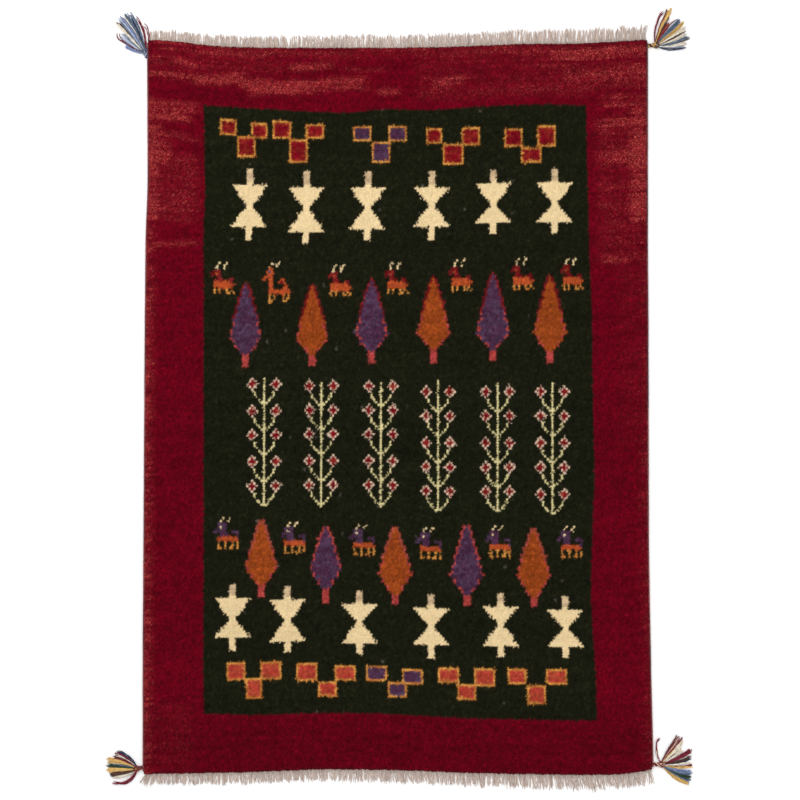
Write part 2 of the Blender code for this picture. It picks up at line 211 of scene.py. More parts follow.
# Lighter red wool in the border: first and last column, first and last row, share of knots
STREAKS = (
    (0, 210, 0, 4, 0.20), (8, 24, 6, 8, 0.40), (0, 24, 10, 13, 0.30), (16, 44, 10, 14, 0.46),
    (36, 56, 11, 15, 0.38), (40, 68, 13, 18, 0.42), (56, 95, 11, 16, 0.38), (57, 80, 5, 8, 0.40),
    (79, 104, 7, 8, 0.30), (94, 108, 14, 17, 0.26), (117, 137, 11, 15, 0.32), (110, 190, 3, 20, 0.10),
    (0, 60, 3, 9, 0.12), (166, 210, 1, 6, 0.36), (172, 210, 9, 14, 0.38), (150, 210, 6, 18, 0.14),
    (190, 210, 19, 25, 0.26),
    (0, 24, 22, 26, 0.30), (0, 20, 26, 30, 0.36), (0, 24, 33, 36, 0.26), (0, 12, 36, 46, 0.26),
    (0, 24, 40, 66, 0.16), (0, 7, 22, 66, 0.44), (0, 24, 73.4, 74.8, 0.40), (0, 20, 60, 64, 0.24),
    (188, 210, 27, 34, 0.26), (188, 210, 38, 46, 0.22), (188, 210, 34, 62, 0.13), (201, 210, 24, 66, 0.56),
    (188, 210, 62, 82, 0.12), (190, 207, 79, 81, 0.30), (0, 5, 66, 270, 0.34), (205, 210, 66, 270, 0.14),
    (196, 210, 82, 150, 0.06), (0, 22, 245, 270, 0.07),
)
STREAK_FADE = 5.0
MOST_LIGHTER = 0.36

# Dyes that are uneven from knot to knot: the dye, the other one in it, its largest share
UNEVEN_DYES = (
    ("gold", "orange", 0.55), ("orange", "orange_red", 0.25), ("wine", "coral", 0.22),
    ("purple", "periwinkle", 0.06), ("soiled", "brown", 0.35), ("square_red", "orange_red", 0.26),
    ("square_red", "crimson", 0.6), ("rose", "gold", 0.10), ("coral", "wine", 0.25),
    ("ivory", "gold_yarn", 0.10),
)
PALE_DYES = ("ivory", "soiled", "petal", "pale_yellow")

# Tassels: place of the knot, and where its neck leaves the side cord
KNOTS = {
    "tassel_top_left": ((-0.5268, 0.7436), (-0.5224, 0.7315)),
    "tassel_top_right": ((0.5390, 0.7575), (0.5225, 0.7560)),
    "tassel_bottom_left": ((-0.5435, -0.7509), (-0.5318, -0.7478)),
    "tassel_bottom_right": ((0.5500, -0.7415), (0.5339, -0.7422)),
}
# Bundles of yarn in each tassel: dye, direction of the tip, length, yarns, fan of the bundle,
# bend along the way, curl at the tip, thickness of a yarn
BUNDLES = {
    "tassel_top_left": (
        ("maroon", 91, 0.062, 2, 3, 2, 60, 0.0015), ("maroon", 102, 0.074, 3, 3, 3, 30, 0.0016),
        ("slate", 110, 0.086, 5, 4, 3, 10, 0.0018), ("navy", 113, 0.080, 3, 3, 3, 10, 0.0016),
        ("slate", 117, 0.093, 5, 4, 3, 8, 0.0018), ("ivory_yarn", 119, 0.093, 2, 1, 3, 20, 0.0014),
        ("periwinkle", 123, 0.090, 6, 5, 3, 10, 0.0018), ("pale_blue", 126.5, 0.092, 3, 2, 2, 12, 0.0017),
        ("slate", 128, 0.084, 3, 2, 2, 10, 0.0017), ("brown", 130.5, 0.090, 2, 1, 2, 25, 0.0014),
        ("ivory_yarn", 133, 0.086, 4, 2.5, 2, 14, 0.0017), ("slate", 138, 0.060, 3, 4, -3, 25, 0.0016),
        ("pale_blue", 143, 0.062, 4, 5, -2, 30, 0.0017), ("maroon", 150, 0.074, 3, 3, 4, -60, 0.0015),
        ("periwinkle", 157, 0.042, 6, 9, -4, -10, 0.0018), ("navy", 148, 0.050, 3, 5, 2, 20, 0.0016),
    ),
    "tassel_top_right": (
        ("maroon", 78, 0.072, 3, 3, -3, -30, 0.0016), ("maroon", 70, 0.080, 3, 2, 3, 10, 0.0016),
        ("gold_yarn", 66, 0.082, 7, 5, 3, 8, 0.0018), ("brown", 61.5, 0.066, 2, 1.5, 2, 20, 0.0015),
        ("rust", 57, 0.056, 5, 6, 2, 20, 0.0017), ("maroon", 53, 0.071, 2, 1.5, 2, -20, 0.0015),
        ("slate", 45, 0.074, 6, 6, 3, 10, 0.0018), ("gold_yarn", 38, 0.076, 6, 4, 2, 12, 0.0018),
        ("ivory_yarn", 31, 0.072, 5, 4, 2, 10, 0.0017), ("brown", 27, 0.071, 2, 1, 2, -10, 0.0015),
        ("ivory_yarn", 22, 0.068, 5, 4, 2, 10, 0.0017), ("slate", 15, 0.072, 6, 5, 3, 8, 0.0018),
        ("brown", 14, 0.078, 2, 1, 2, 8, 0.0015), ("ivory_yarn", 6, 0.062, 6, 6, 2, -8, 0.0017),
        ("pale_blue", 2, 0.060, 3, 4, 2, -8, 0.0016), ("navy", -3, 0.062, 3, 2, 2, 10, 0.0015),
    ),
    "tassel_bottom_left": (
        ("navy", 139, 0.055, 3, 3, 4, 10, 0.0016), ("maroon", 146, 0.058, 2, 2, 3, 10, 0.0016),
        ("ivory_yarn", 150, 0.056, 2, 2, 3, 10, 0.0015), ("brown", 153, 0.060, 3, 3, 3, 10, 0.0016),
        ("maroon", 156, 0.056, 3, 3, 3, 10, 0.0016), ("gold_yarn", 163, 0.066, 9, 9, 3, 12, 0.0018),
        ("green_yarn", 173, 0.064, 5, 5, 2, 10, 0.0018), ("gold_yarn", 181, 0.063, 9, 8, 2, 10, 0.0018),
        ("brown", 191, 0.060, 7, 7, 2, 12, 0.0018), ("ivory_yarn", 199, 0.055, 4, 3, -8, -20, 0.0016),
        ("maroon", 210, 0.062, 5, 3, -26, -10, 0.0018), ("slate", 168, 0.048, 3, 20, 2, 20, 0.0017),
    ),
    "tassel_bottom_right": (
        ("maroon", 97, 0.056, 3, 3, -10, -50, 0.0017), ("ivory_yarn", 101, 0.034, 2, 3, -6, 0, 0.0015),
        ("brown", 60, 0.073, 2, 1, 2, 10, 0.0015), ("maroon", 57, 0.073, 3, 2, 2, -10, 0.0015),
        ("petal", 54, 0.068, 2, 2, 2, 10, 0.0015), ("maroon", 51, 0.073, 3, 2, 2, 10, 0.0015),
        ("gold_yarn", 46, 0.073, 2, 1.5, 2, 10, 0.0015), ("ivory_yarn", 44, 0.066, 6, 6, 6, 30, 0.0018),
        ("ivory_yarn", 36, 0.060, 7, 9, 8, 120, 0.0018), ("brown", 38, 0.052, 3, 6, 6, 90, 0.0016),
        ("maroon", 24, 0.070, 9, 8, 3, 12, 0.0018), ("brown", 14, 0.068, 4, 3, 2, 15, 0.0017),
        ("navy", 10, 0.066, 3, 2, 2, 15, 0.0016), ("ivory_yarn", 5, 0.062, 2, 1, 2, 15, 0.0015),
        ("maroon", 0, 0.066, 3, 1.5, 2, 12, 0.0015), ("gold_yarn", -4, 0.066, 4, 2, 2, 12, 0.0017),
        ("periwinkle", -13, 0.067, 6, 5, 2, 10, 0.0018), ("slate", -17, 0.064, 4, 4, 2, 10, 0.0017),
        ("green_yarn", -24, 0.070, 6, 5, -2, 10, 0.0018), ("slate", -30, 0.070, 5, 4, -2, 10, 0.0018),
        ("gold_yarn", -36.5, 0.069, 8, 5, -3, 14, 0.0018),
    ),
}
# How far the outermost bundles of a tassel bend outwards, and how far from its middle they start
BRUSH = 16.0
BRUSH_REACH = 0.0042
# Dyes of the wraps round each tassel's knot and of the twisted neck
WRAPS = {
    "tassel_top_left": ("navy", "pale_blue", "slate"),
    "tassel_top_right": ("brown", "gold_yarn", "brown"),
    "tassel_bottom_left": ("brown", "rust", "maroon"),
    "tassel_bottom_right": ("maroon", "petal", "maroon"),
}

# The two ends: 1 for the far one, its name, fringe table, CAD node and random seed
ENDS = ((1, "far", FAR_FRINGE, "fringe_top", 11), (0, "near", NEAR_FRINGE, "fringe_bottom", 12))

# Finishes: fibre scale, clump scale, depth of the fibres' shade, height of the relief, roughness
FINISHES = {
    "shorn_pile_wool": (1500.0, 420.0, 0.9, 0.0006, 0.90),
    "woven_back_wool": (1100.0, 340.0, 0.7, 0.0005, 0.92),
    "overcast_wool": (1300.0, 380.0, 0.7, 0.0004, 0.88),
    "warp_cotton": (1600.0, 500.0, 0.5, 0.0003, 0.86),
    "tassel_yarn_wool": (1200.0, 420.0, 0.8, 0.0005, 0.88),
}

# Floor, and the view straight down
FLOOR_SPAN = 30.0
FLOOR_DROP = 0.0002
VIEW_SPAN = 1.664
VIEW_MIDDLE = (0.0052, 0.0177)
VIEW_LENS = 100.0
VIEW_SENSOR = 36.0


def linear(red, green, blue):
    """A colour in linear light from its three values of 0 to 255 as seen on a screen."""
    seen = np.array((red, green, blue)) / 255
    return tuple(float(v) for v in np.where(seen < 0.04045, seen / 12.92, ((seen + 0.055) / 1.055) ** 2.4))


def colour_property(label, text, red, green, blue):
    """A colour field of the panel with its default."""
    return FloatVectorProperty(
        name=label, description=text, subtype="COLOR", size=3, min=0.0, max=1.0,
        default=linear(red, green, blue),
    )


class GABBEH_PG_sizes(bpy.types.PropertyGroup):
    """Sizes of the weave, the cords and the yarns."""
    pile_top: FloatProperty(
        name="Pile height", description="Height of the shorn pile over the floor", unit="LENGTH",
        default=BODY_BOX[1][2] - SWELL, min=0.004, max=0.03)
    tuft_rise: FloatProperty(
        name="Tuft rise", description="Height of a tuft's middle over the valleys round it",
        unit="LENGTH", default=0.0009, min=0.0, max=0.003)
    tuft_uneven: FloatProperty(
        name="Uneven shearing", description="How far single tufts stand higher or lower",
        unit="LENGTH", default=0.00045, min=0.0, max=0.002)
    tuft_lean: FloatProperty(
        name="Loose tufts", description="How far tufts push their neighbours aside, as a share of a knot",
        default=0.2, min=0.0, max=0.4)
    overcast_pitch: FloatProperty(
        name="Overcast pitch", description="Spacing of the wraps along the side cords", unit="LENGTH",
        default=0.0029, min=0.001, max=0.01)
    warp_thickness: FloatProperty(
        name="Warp thickness", description="Thickness of a cut warp end", unit="LENGTH",
        default=0.0016, min=0.0005, max=0.003)
    warps_per_lock: IntProperty(
        name="Warps a lock", description="Cut warp ends in one lock of the fringe", default=9, min=1, max=12)


class GABBEH_PG_dyes(bpy.types.PropertyGroup):
    """Dyes of the wool and of the cotton."""
    crimson: colour_property("Crimson", "Border ground", 97, 2, 20)
    madder: colour_property("Light madder", "Single lighter tufts in the border", 242, 100, 92)
    green: colour_property("Dark green", "Field ground", 24, 25, 13)
    ivory: colour_property("Ivory", "Undyed wool of the figures and stems", 232, 206, 158)
    gold: colour_property("Gold", "Outlines of the squares and the goats' legs", 206, 142, 68)
    orange: colour_property("Orange", "Cypresses", 142, 64, 22)
    orange_red: colour_property("Orange red", "Goats", 168, 72, 36)
    coral: colour_property("Coral", "Trunks and outlines of the cypresses", 172, 66, 62)
    purple: colour_property("Purple", "Cypresses and squares", 70, 39, 62)
    wine: colour_property("Wine", "Goats' heads and upper outlines", 98, 12, 20)
    square_red: colour_property("Red", "Middles of the upper squares and the flowers", 122, 12, 26)
    rose: colour_property("Rose", "Middles of the lower squares", 162, 54, 44)
    navy: colour_property("Navy", "Dark blue yarns", 62, 66, 88)
    maroon: colour_property("Maroon", "Dark red yarns", 128, 46, 62)
    slate: colour_property("Slate", "Blue-green yarns", 104, 120, 142)
    periwinkle: colour_property("Periwinkle", "Light blue yarns", 130, 144, 182)
    pale_blue: colour_property("Pale blue", "Palest blue yarns", 184, 192, 210)
    ivory_yarn: colour_property("Ivory yarn", "Undyed tassel yarns", 234, 224, 206)
    gold_yarn: colour_property("Mustard", "Mustard yarns", 226, 186, 114)
    green_yarn: colour_property("Bottle green", "Dark green yarns", 62, 78, 66)
    brown: colour_property("Brown", "Brown yarns", 98, 70, 60)
    rust: colour_property("Rust", "Rust yarns", 152, 68, 58)
    petal: colour_property("Petals", "Pinkish ivory wool round the flowers", 222, 192, 166)
    pale_yellow: colour_property("Pale yellow", "Stems and branches", 220, 206, 150)
    soiled: colour_property("Soiled ivory", "Ivory wool at the figures' heads", 214, 186, 146)
    cord: colour_property("Cord", "Overcast of the side cords", 150, 82, 82)
    cord_dark: colour_property("Dark cord", "Darker overcast of the right cord", 98, 58, 64)
    cotton: colour_property("Cotton", "Undyed cotton warps", 223, 205, 194)
    cotton_shade: colour_property("Grey cotton", "Soiled cotton warps", 182, 160, 148)


def sizes():
    """The sizes set in the panel."""
    return bpy.context.scene.gabbeh_sizes


def dye(name):
    """A dye set in the panel, as three linear values."""
    return np.array(getattr(bpy.context.scene.gabbeh_dyes, name))


def read_table(table, at, column=1):
    """A table's column at the given first-column values, with its corners eased: the mean of
    five straight readings a little to either side."""
    rows = np.array(table)
    shifts = (-EASE, -EASE / 2, 0.0, EASE / 2, EASE)
    return sum(np.interp(at + shift, rows[:, 0], rows[:, column]) for shift in shifts) / len(shifts)


def knot_table(table, at):
    """A table given in knots, read straight at the given knots."""
    rows = np.array(table, dtype=float)
    return np.interp(at, rows[:, 0], rows[:, 1])


def drift(place, wavelength, seed):
    """A slow wander between -1 and 1 along a line, from three sines of unlike lengths."""
    turns = 2 * math.pi * place / wavelength
    return (np.sin(turns + seed) + np.sin(1.7 * turns + 2.1 * seed) * 0.6
            + np.sin(2.9 * turns + 3.3 * seed) * 0.4) / 2


def smooth_noise(shape, cell, rng):
    """An even field of soft patches between -1 and 1: random values on a coarse grid, read
    between its points with a cosine ease in both directions. cell is rows and columns a patch."""
    counts = [int(math.ceil(size / step)) + 2 for size, step in zip(shape, cell)]
    coarse = rng.uniform(-1, 1, counts)
    places = [np.arange(size) / step for size, step in zip(shape, cell)]
    whole = [place.astype(int) for place in places]
    part = [(1 - np.cos(math.pi * (place - low))) / 2 for place, low in zip(places, whole)]
    low_row, low_col = whole[0][:, None], whole[1][None, :]
    fine_row, fine_col = part[0][:, None], part[1][None, :]
    near = coarse[low_row, low_col] * (1 - fine_col) + coarse[low_row, low_col + 1] * fine_col
    far = coarse[low_row + 1, low_col] * (1 - fine_col) + coarse[low_row + 1, low_col + 1] * fine_col
    return near * (1 - fine_row) + far * fine_row


def body_point(across, along):
    """The point of the pile at shares of its width and length: x runs straight between the two
    side tables, y straight between the two end tables."""
    guide = (2 * along - 1) * HALF_LENGTH
    inset = 2 * CORD_RADIUS + CLEARANCE
    left = read_table(LEFT_SIDE, guide) + inset
    right = read_table(RIGHT_SIDE, guide) - inset
    x = left + (right - left) * across
    near = read_table(NEAR_END, x)
    far = read_table(FAR_END, x)
    return x, near + (far - near) * along


def put_mesh(name, points, corners, counts, colours=None, domain="POINT", smooth=None):
    """Store a mesh at the origin from its points, the faces' corner indices and the number of
    corners of each face, with a dye for each point or corner. The first faces, or all, are smooth."""
    mesh = bpy.data.meshes.new(name)
    mesh.vertices.add(len(points))
    mesh.vertices.foreach_set("co", np.asarray(points, np.float32).ravel())
    mesh.loops.add(len(corners))
    mesh.loops.foreach_set("vertex_index", np.asarray(corners, np.int32))
    mesh.polygons.add(len(counts))
    starts = np.concatenate(([0], np.cumsum(counts)[:-1]))
    mesh.polygons.foreach_set("loop_start", starts.astype(np.int32))
    smooth = len(counts) if smooth is None else smooth
    mesh.polygons.foreach_set("use_smooth", np.arange(len(counts)) < smooth)
    mesh.update(calc_edges=True)
    if colours is not None:
        layer = mesh.color_attributes.new("dye", "FLOAT_COLOR", domain)
        full = np.ones((len(colours), 4), np.float32)
        full[:, :3] = colours
        layer.data.foreach_set("color", full.ravel())
    thing = bpy.data.objects.new(name, mesh)
    bpy.context.scene.collection.objects.link(thing)
    return thing


def finish_piece(thing, material, slot, *nodes):
    """Give a piece its material and body, and hide the CAD nodes that it stands for. The slot is not used.
    """
    thing.data.materials.append(material)
    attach(thing, "root")
    if nodes:
        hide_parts(*nodes)
    return thing


def grid_quads(rows, columns, start=0):
    """Corner indices of the quads of a grid of points stored row by row, turned to face up
    where columns run to +X and rows to +Y."""
    first = start + (np.arange(rows - 1)[:, None] * columns + np.arange(columns - 1)[None, :]).ravel()
    return np.stack((first, first + 1, first + columns + 1, first + columns), axis=1)


def rim_loop(rows, columns):
    """Indices of a grid's outer points, once round from the near left corner."""
    order = np.arange(rows * columns).reshape(rows, columns)
    return np.concatenate((order[0, :], order[1:, -1], order[-1, -2::-1], order[-2:0:-1, 0]))


def wall_quads(low, high):
    """Quads that face outwards between a lower and a higher loop of points."""
    return np.stack((low, np.roll(low, -1), np.roll(high, -1), high), axis=1)


def lid_faces(loop, rows, columns, deep):
    """Flat faces that close a grid's loop and face up: a long quad for each row, and one face
    for the first deep rows and one for the last, which hold the bends of the two ends."""
    right = loop[columns - 1:columns + rows - 1]
    left = np.concatenate((loop[:1], loop[::-1][:rows - 1]))
    rungs = np.stack((left[deep:-1 - deep], right[deep:-1 - deep],
                      right[deep + 1:-deep], left[deep + 1:-deep]), axis=1)
    near = np.concatenate((loop[:columns], right[1:deep + 1], left[deep:0:-1]))
    far = np.concatenate((loop[columns + rows - 2:2 * columns + rows - 2],
                          left[-2:-2 - deep:-1], right[-1 - deep:-1]))
    return rungs, near, far


def draw_chart():
    """The dye of every knot: rows counted from the far end, columns from the left.

    The border comes first, then the field within its first and last columns and rows, then each motif."""
    chart = np.full((ROWS, COLUMNS), "crimson", dtype=object)
    row = np.arange(ROWS)[:, None] + 0.5
    column = np.arange(COLUMNS)[None, :] + 0.5
    inside = (column > FIELD_COLUMNS[0]) & (column < FIELD_COLUMNS[1])
    inside = inside & (row > FIELD_ROWS[0]) & (row < FIELD_ROWS[1])
    chart[inside] = "green"
    for left, top, width, height, fill in SQUARES:
        chart[top:top + height, left:left + width] = "gold"
        chart[top + 1:top + height - 1, left + 1:left + width - 1] = fill
    for figure in HOURGLASSES:
        draw_hourglass(chart, *figure)
    for tree in CYPRESSES:
        draw_cypress(chart, *tree)
    for number, stem in enumerate(STEMS):
        draw_stem(chart, number, *stem)
    for left, top, kind in HERD:
        stamp(chart, left, top, GOATS[kind])
    return chart


def stamp(chart, left, top, letters):
    """Put a small lettered chart into the whole one."""
    for down, line in enumerate(letters):
        for aside, letter in enumerate(line):
            if letter != ".":
                chart[top + down, left + aside] = LETTERS[letter]


def draw_hourglass(chart, middle, head, shoulder, waist, base, foot):
    """An ivory figure: a soiled stub for the head, a wide shoulder row that narrows evenly to the
    waist, widens again to the base, and a stub for the foot."""
    for row in range(head, foot):
        if row < shoulder or row >= base:
            half = 1
        elif row < waist:
            half = round(7.2 - 6.2 * (row - shoulder) / (waist - shoulder - 1))
        else:
            half = round(1 + 6.2 * (row - waist) / (base - waist - 1))
        chart[row, middle - half:middle + half + 1] = "soiled" if row < shoulder - 1 else "ivory"


def draw_cypress(chart, middle, tip, widest, leaf_foot, foot, half_width, leaves, upper):
    """A tree: leaves that widen from the tip by a width table and close below by straight lines,
    an outline one knot wide, dark above and coral below, and a coral trunk."""
    reach = {}
    for row in range(tip, leaf_foot):
        if row < widest:
            share = knot_table(CYPRESS_WIDTHS, (row - tip + 0.5) / (widest - tip))
        else:
            share = 1 - 0.84 * (row - widest + 0.5) / (leaf_foot - widest)
        reach[row] = int(round(half_width * float(share)))
    for row, half in reach.items():
        inner = min(half, reach.get(row - 1, half), reach.get(row + 1, half) + 1)
        low = "coral" if (row * 5 + middle) % 3 else leaves
        edge = upper if row < (tip + widest) / 2 + 3 else low
        chart[row, middle - half:middle + half + 1] = edge
        if half > 0:
            inner = max(min(inner, half - 1), 0)
            chart[row, middle - inner:middle + inner + 1] = leaves
    chart[leaf_foot:foot, middle - 1:middle + 2] = "coral"


def draw_stem(chart, number, middle, top, first, foot):
    """A stem that wanders by a knot, with pairs of branches: each runs up and out one knot a row
    from a wider joint on the stem and ends in a small flower."""
    for row in range(top, foot):
        aside = int(round(0.55 * float(drift(row, 61.0, number * 1.3))))
        chart[row, middle + aside] = "pale_yellow"
    for branch in range(BRANCHES):
        flower = int(round(first + BRANCH_STEP * branch))
        joint = min(flower + 7, foot)
        chart[joint, middle - 1:middle + 2] = "pale_yellow"
        for side in (-1, 1):
            at = middle + side * int(round(FLOWER_REACH))
            for step, row in enumerate(range(flower + 3, joint)):
                share = (step + 0.6) / (joint - flower - 2)
                out = at - side * int(round((FLOWER_REACH - 1) * share))
                chart[row, out] = "pale_yellow"
            stamp(chart, at - 2, flower - 2, FLOWER)


def lighter_share(crimson, row, column, rng):
    """The share of lighter wool in every crimson knot: the strongest streak there, which waves
    along the rows and fades at its ends, uneven by patches, by rows and by knots."""
    loose = smooth_noise(crimson.shape, (2, 6), rng) + 0.5 * smooth_noise(crimson.shape, (5, 17), rng)
    share = np.zeros(crimson.shape)
    for left, right, top, bottom, strength in STREAKS:
        wave = 0.9 * drift(column, 47.0, left * 0.3 + top)
        reach = np.ones(column.shape)
        if left > 0 or right == COLUMNS:
            reach = np.clip((column - left) / STREAK_FADE, 0, 1)
        if right < COLUMNS:
            reach = reach * np.clip((right - column) / STREAK_FADE, 0, 1)
        rise = np.clip((row + wave - top) / 2 + 0.5, 0, 1)
        fall = np.clip((bottom - row - wave) / 2 + 0.5, 0, 1)
        share = np.maximum(share, strength * reach * rise * fall)
    by_row = smooth_noise(crimson.shape, (1, 34), rng)
    share = 0.95 * share * (1 + 0.30 * loose) * (1 + 0.6 * by_row)
    share = np.clip(share * rng.uniform(0.6, 1.4, crimson.shape), 0, MOST_LIGHTER)
    return np.where(crimson, share, 0.0)


def knot_colours(chart):
    """The linear colour of every knot, and the share of lighter wool in it: its dye, soft bands
    across the rug from one batch of wool to the next, and a little unlike its neighbours."""
    rng = np.random.default_rng(7)
    names, index = np.unique(chart.astype(str), return_inverse=True)
    table = np.array([dye(name) for name in names])
    colours = table[index.reshape(chart.shape)]
    row = np.arange(ROWS)[:, None] + 0.5
    column = np.arange(COLUMNS)[None, :] + 0.5
    crimson, dark = chart == "crimson", chart == "green"
    share = lighter_share(crimson, row, column, rng)
    blend = (share * 0.10)[..., None]
    colours = colours * (1 - blend) + dye("madder") * blend
    for name, other, most in UNEVEN_DYES:
        mix = np.clip(0.4 + 1.3 * smooth_noise(chart.shape, (1, 2), rng), 0, 1) * most
        mix = np.where(chart == name, mix, 0)[..., None]
        colours = colours * (1 - mix) + dye(other) * mix
    stray = dark & (rng.uniform(0, 1, chart.shape) < 0.0016)
    colours = np.where(stray[..., None], colours * 0.93 + dye("cotton") * 0.07, colours)
    batch = 1 + 0.05 * drift(row, 61.0, 2.0) + 0.05 * drift(row, 9.0, 4.0)
    batch = batch * np.interp(row, (0, 90, 150, 240, 258, 270), (1.0, 0.98, 0.92, 0.97, 0.84, 0.90))
    patch = smooth_noise(chart.shape, (3, 7), rng) * 0.08 + smooth_noise(chart.shape, (1, 26), rng) * 0.09
    speck = rng.normal(0, 1, chart.shape)
    spread = np.where(dark, 0.16, np.where(crimson, 0.09, 0.10))
    level = batch * (1 + patch) * np.exp(speck * spread)
    pale = np.isin(chart.astype(str), PALE_DYES)
    level = np.where(pale, 1 + (level - 1) * 0.35, level)
    return np.clip(colours * level[..., None], 0, 1), share


def bend(table, along, place, edge):
    """How far a field edge's table moves the lines near that edge: all of it at the edge, falling
    straight to none FIELD_BLEND knots away on both sides."""
    tent = np.clip(1 - np.abs(place - edge) / FIELD_BLEND, 0, 1)
    return (knot_table(table, along) - edge) * tent


def tuft_teeth(light, lines, files):
    """How far the lines between knots move, in knots, because lighter tufts spread over darker
    neighbours: out at the middle of a knot's side and back at its corners, as small teeth."""
    apart = np.clip(np.diff(light, axis=1, prepend=light[:, :1], append=light[:, -1:]) * -9, -1, 1)
    down = np.clip(np.diff(light, axis=0, prepend=light[:1], append=light[-1:]) * -9, -1, 1)
    aside, ahead = np.zeros((lines, files)), np.zeros((lines, files))
    aside[1::2, ::2] = apart * 0.05
    ahead[::2, 1::2] = down * 0.02
    padded = np.pad(apart, ((1, 1), (0, 0)), mode="edge")
    aside[::2, ::2] = -(padded[:-1] + padded[1:]) / 2 * 0.20
    padded = np.pad(down, ((0, 0), (1, 1)), mode="edge")
    ahead[::2, ::2] = -(padded[:, :-1] + padded[:, 1:]) / 2 * 0.14
    return aside, ahead


def pile_surface(colours):
    """Points of the pile's top, two quads a knot each way.

    Every second line runs along a valley between knots. The height is the shorn pile's, less the
    tuft's rise in the valleys and half of it at their middles, rolled down at the rim. The lines
    bend with the field's edge tables, tufts push the valley points a little aside, lighter ones
    more, and the rim stands a little over the side cords."""
    size = sizes()
    rng = np.random.default_rng(3)
    lines, files = 2 * ROWS + 1, 2 * COLUMNS + 1
    light = colours[::-1] @ LIGHTNESS
    aside, ahead = tuft_teeth(light, lines, files)
    slack = size.tuft_lean
    move = rng.uniform(-slack, slack, (2, lines, files))
    move[:, 1::2, 1::2] *= 0.6
    column = np.arange(files)[None, :] / 2 + np.zeros((lines, 1))
    row = ROWS - np.arange(lines)[:, None] / 2 + np.zeros((1, files))
    shift = (bend(FIELD_LEFT, row, column, FIELD_COLUMNS[0])
             + bend(FIELD_RIGHT, row, column, FIELD_COLUMNS[1]))
    drop = (bend(FIELD_TOP, column, row, FIELD_ROWS[0])
            + bend(FIELD_BOTTOM, column, row, FIELD_ROWS[1]))
    across, along = column + shift, ROWS - row - drop
    across[:, 1:-1] += (move[0] + aside)[:, 1:-1]
    along[1:-1, :] += (move[1] + ahead)[1:-1, :]
    x, y = body_point(across / COLUMNS, along / ROWS)
    near = read_table(NEAR_END, x)
    far = read_table(FAR_END, x)
    inset = np.minimum(np.minimum(x - x[:, :1], x[:, -1:] - x), np.minimum(y - near, far - y))
    rim = np.array(RIM)
    z = np.interp(np.clip(inset, 0, None), rim[:, 0], rim[:, 1]) - rim[-1, 1] + size.pile_top
    flat = np.clip(inset / rim[-1, 0], 0, 1)
    z += SWELL * flat * (np.sin(2 * math.pi * x / SWELL_LENGTH[0] + SWELL_START[0])
                         * np.sin(2 * math.pi * y / SWELL_LENGTH[1] + SWELL_START[1]))
    valley_row = np.arange(lines)[:, None] % 2 == 0
    valley_col = np.arange(files)[None, :] % 2 == 0
    down = np.where(valley_row, np.where(valley_col, 1.0, 0.62), np.where(valley_col, 0.5, 0.0))
    z -= size.tuft_rise * down
    z += size.tuft_uneven * np.clip(rng.normal(0, 1, (lines, files)), -2.2, 2.2) * (1.25 - down)
    z += 0.0003 * smooth_noise((lines, files), (9, 9), rng)
    fray = 1 + 0.55 * np.clip(rng.normal(0, 1, (lines, files)), -1.6, 1.6)
    x -= OVERHANG * np.exp(-(x - x[:, :1]) / LEAN_DEPTH) * (0.7 + 0.3 * fray)
    x += OVERHANG * np.exp(-(x[:, -1:] - x) / LEAN_DEPTH) * (0.7 + 0.3 * fray)
    y -= END_OVERHANG * np.exp(-np.clip(y - near, 0, None) / LEAN_DEPTH) * fray
    y += END_OVERHANG * np.exp(-np.clip(far - y, 0, None) / LEAN_DEPTH) * fray
    return np.stack((x, y, z), axis=-1)


def loosen(colours):
    """The colours of the quads, four to a knot: some take the next quad's dye, so that the edges
    between dyes are uneven by half a knot, and each is a little lighter or darker."""
    rng = np.random.default_rng(19)
    faces = np.repeat(np.repeat(colours, 2, axis=0), 2, axis=1)
    rows, files = faces.shape[:2]
    step = np.array((-1,) + (0,) * 12 + (1,))
    row = np.clip(np.arange(rows)[:, None] + step[rng.integers(0, 14, (rows, files))], 0, rows - 1)
    column = np.clip(np.arange(files)[None, :] + step[rng.integers(0, 14, (rows, files))], 0, files - 1)
    faces = faces[row, column]
    light = faces @ LIGHTNESS
    spread = np.interp(light, (0.0, 0.05, 0.2, 0.6), (0.30, 0.26, 0.18, 0.04))
    grain = rng.normal(0, 1, (rows, files)) * spread
    return np.clip(faces * np.exp(grain)[..., None], 0, 1)


def blend_corners(faces):
    """A colour for each corner of the quads of the pile's top: the quad's own, drawn towards the
    mean at that point, in which darker tufts count for more, so that single light knots look
    small and edges between dyes are soft."""
    padded = np.pad(faces, ((1, 1), (1, 1), (0, 0)), mode="edge")
    weight = 1 / (padded @ LIGHTNESS + 0.05)[..., None]
    heavy = padded * weight
    total = (heavy[:-1, :-1] + heavy[:-1, 1:] + heavy[1:, :-1] + heavy[1:, 1:])
    mean = total / (weight[:-1, :-1] + weight[:-1, 1:] + weight[1:, :-1] + weight[1:, 1:])
    near = np.stack((mean[:-1, :-1], mean[:-1, 1:], mean[1:, 1:], mean[1:, :-1]), axis=2)
    return faces[:, :, None] * (1 - CORNER_BLEND) + near * CORNER_BLEND


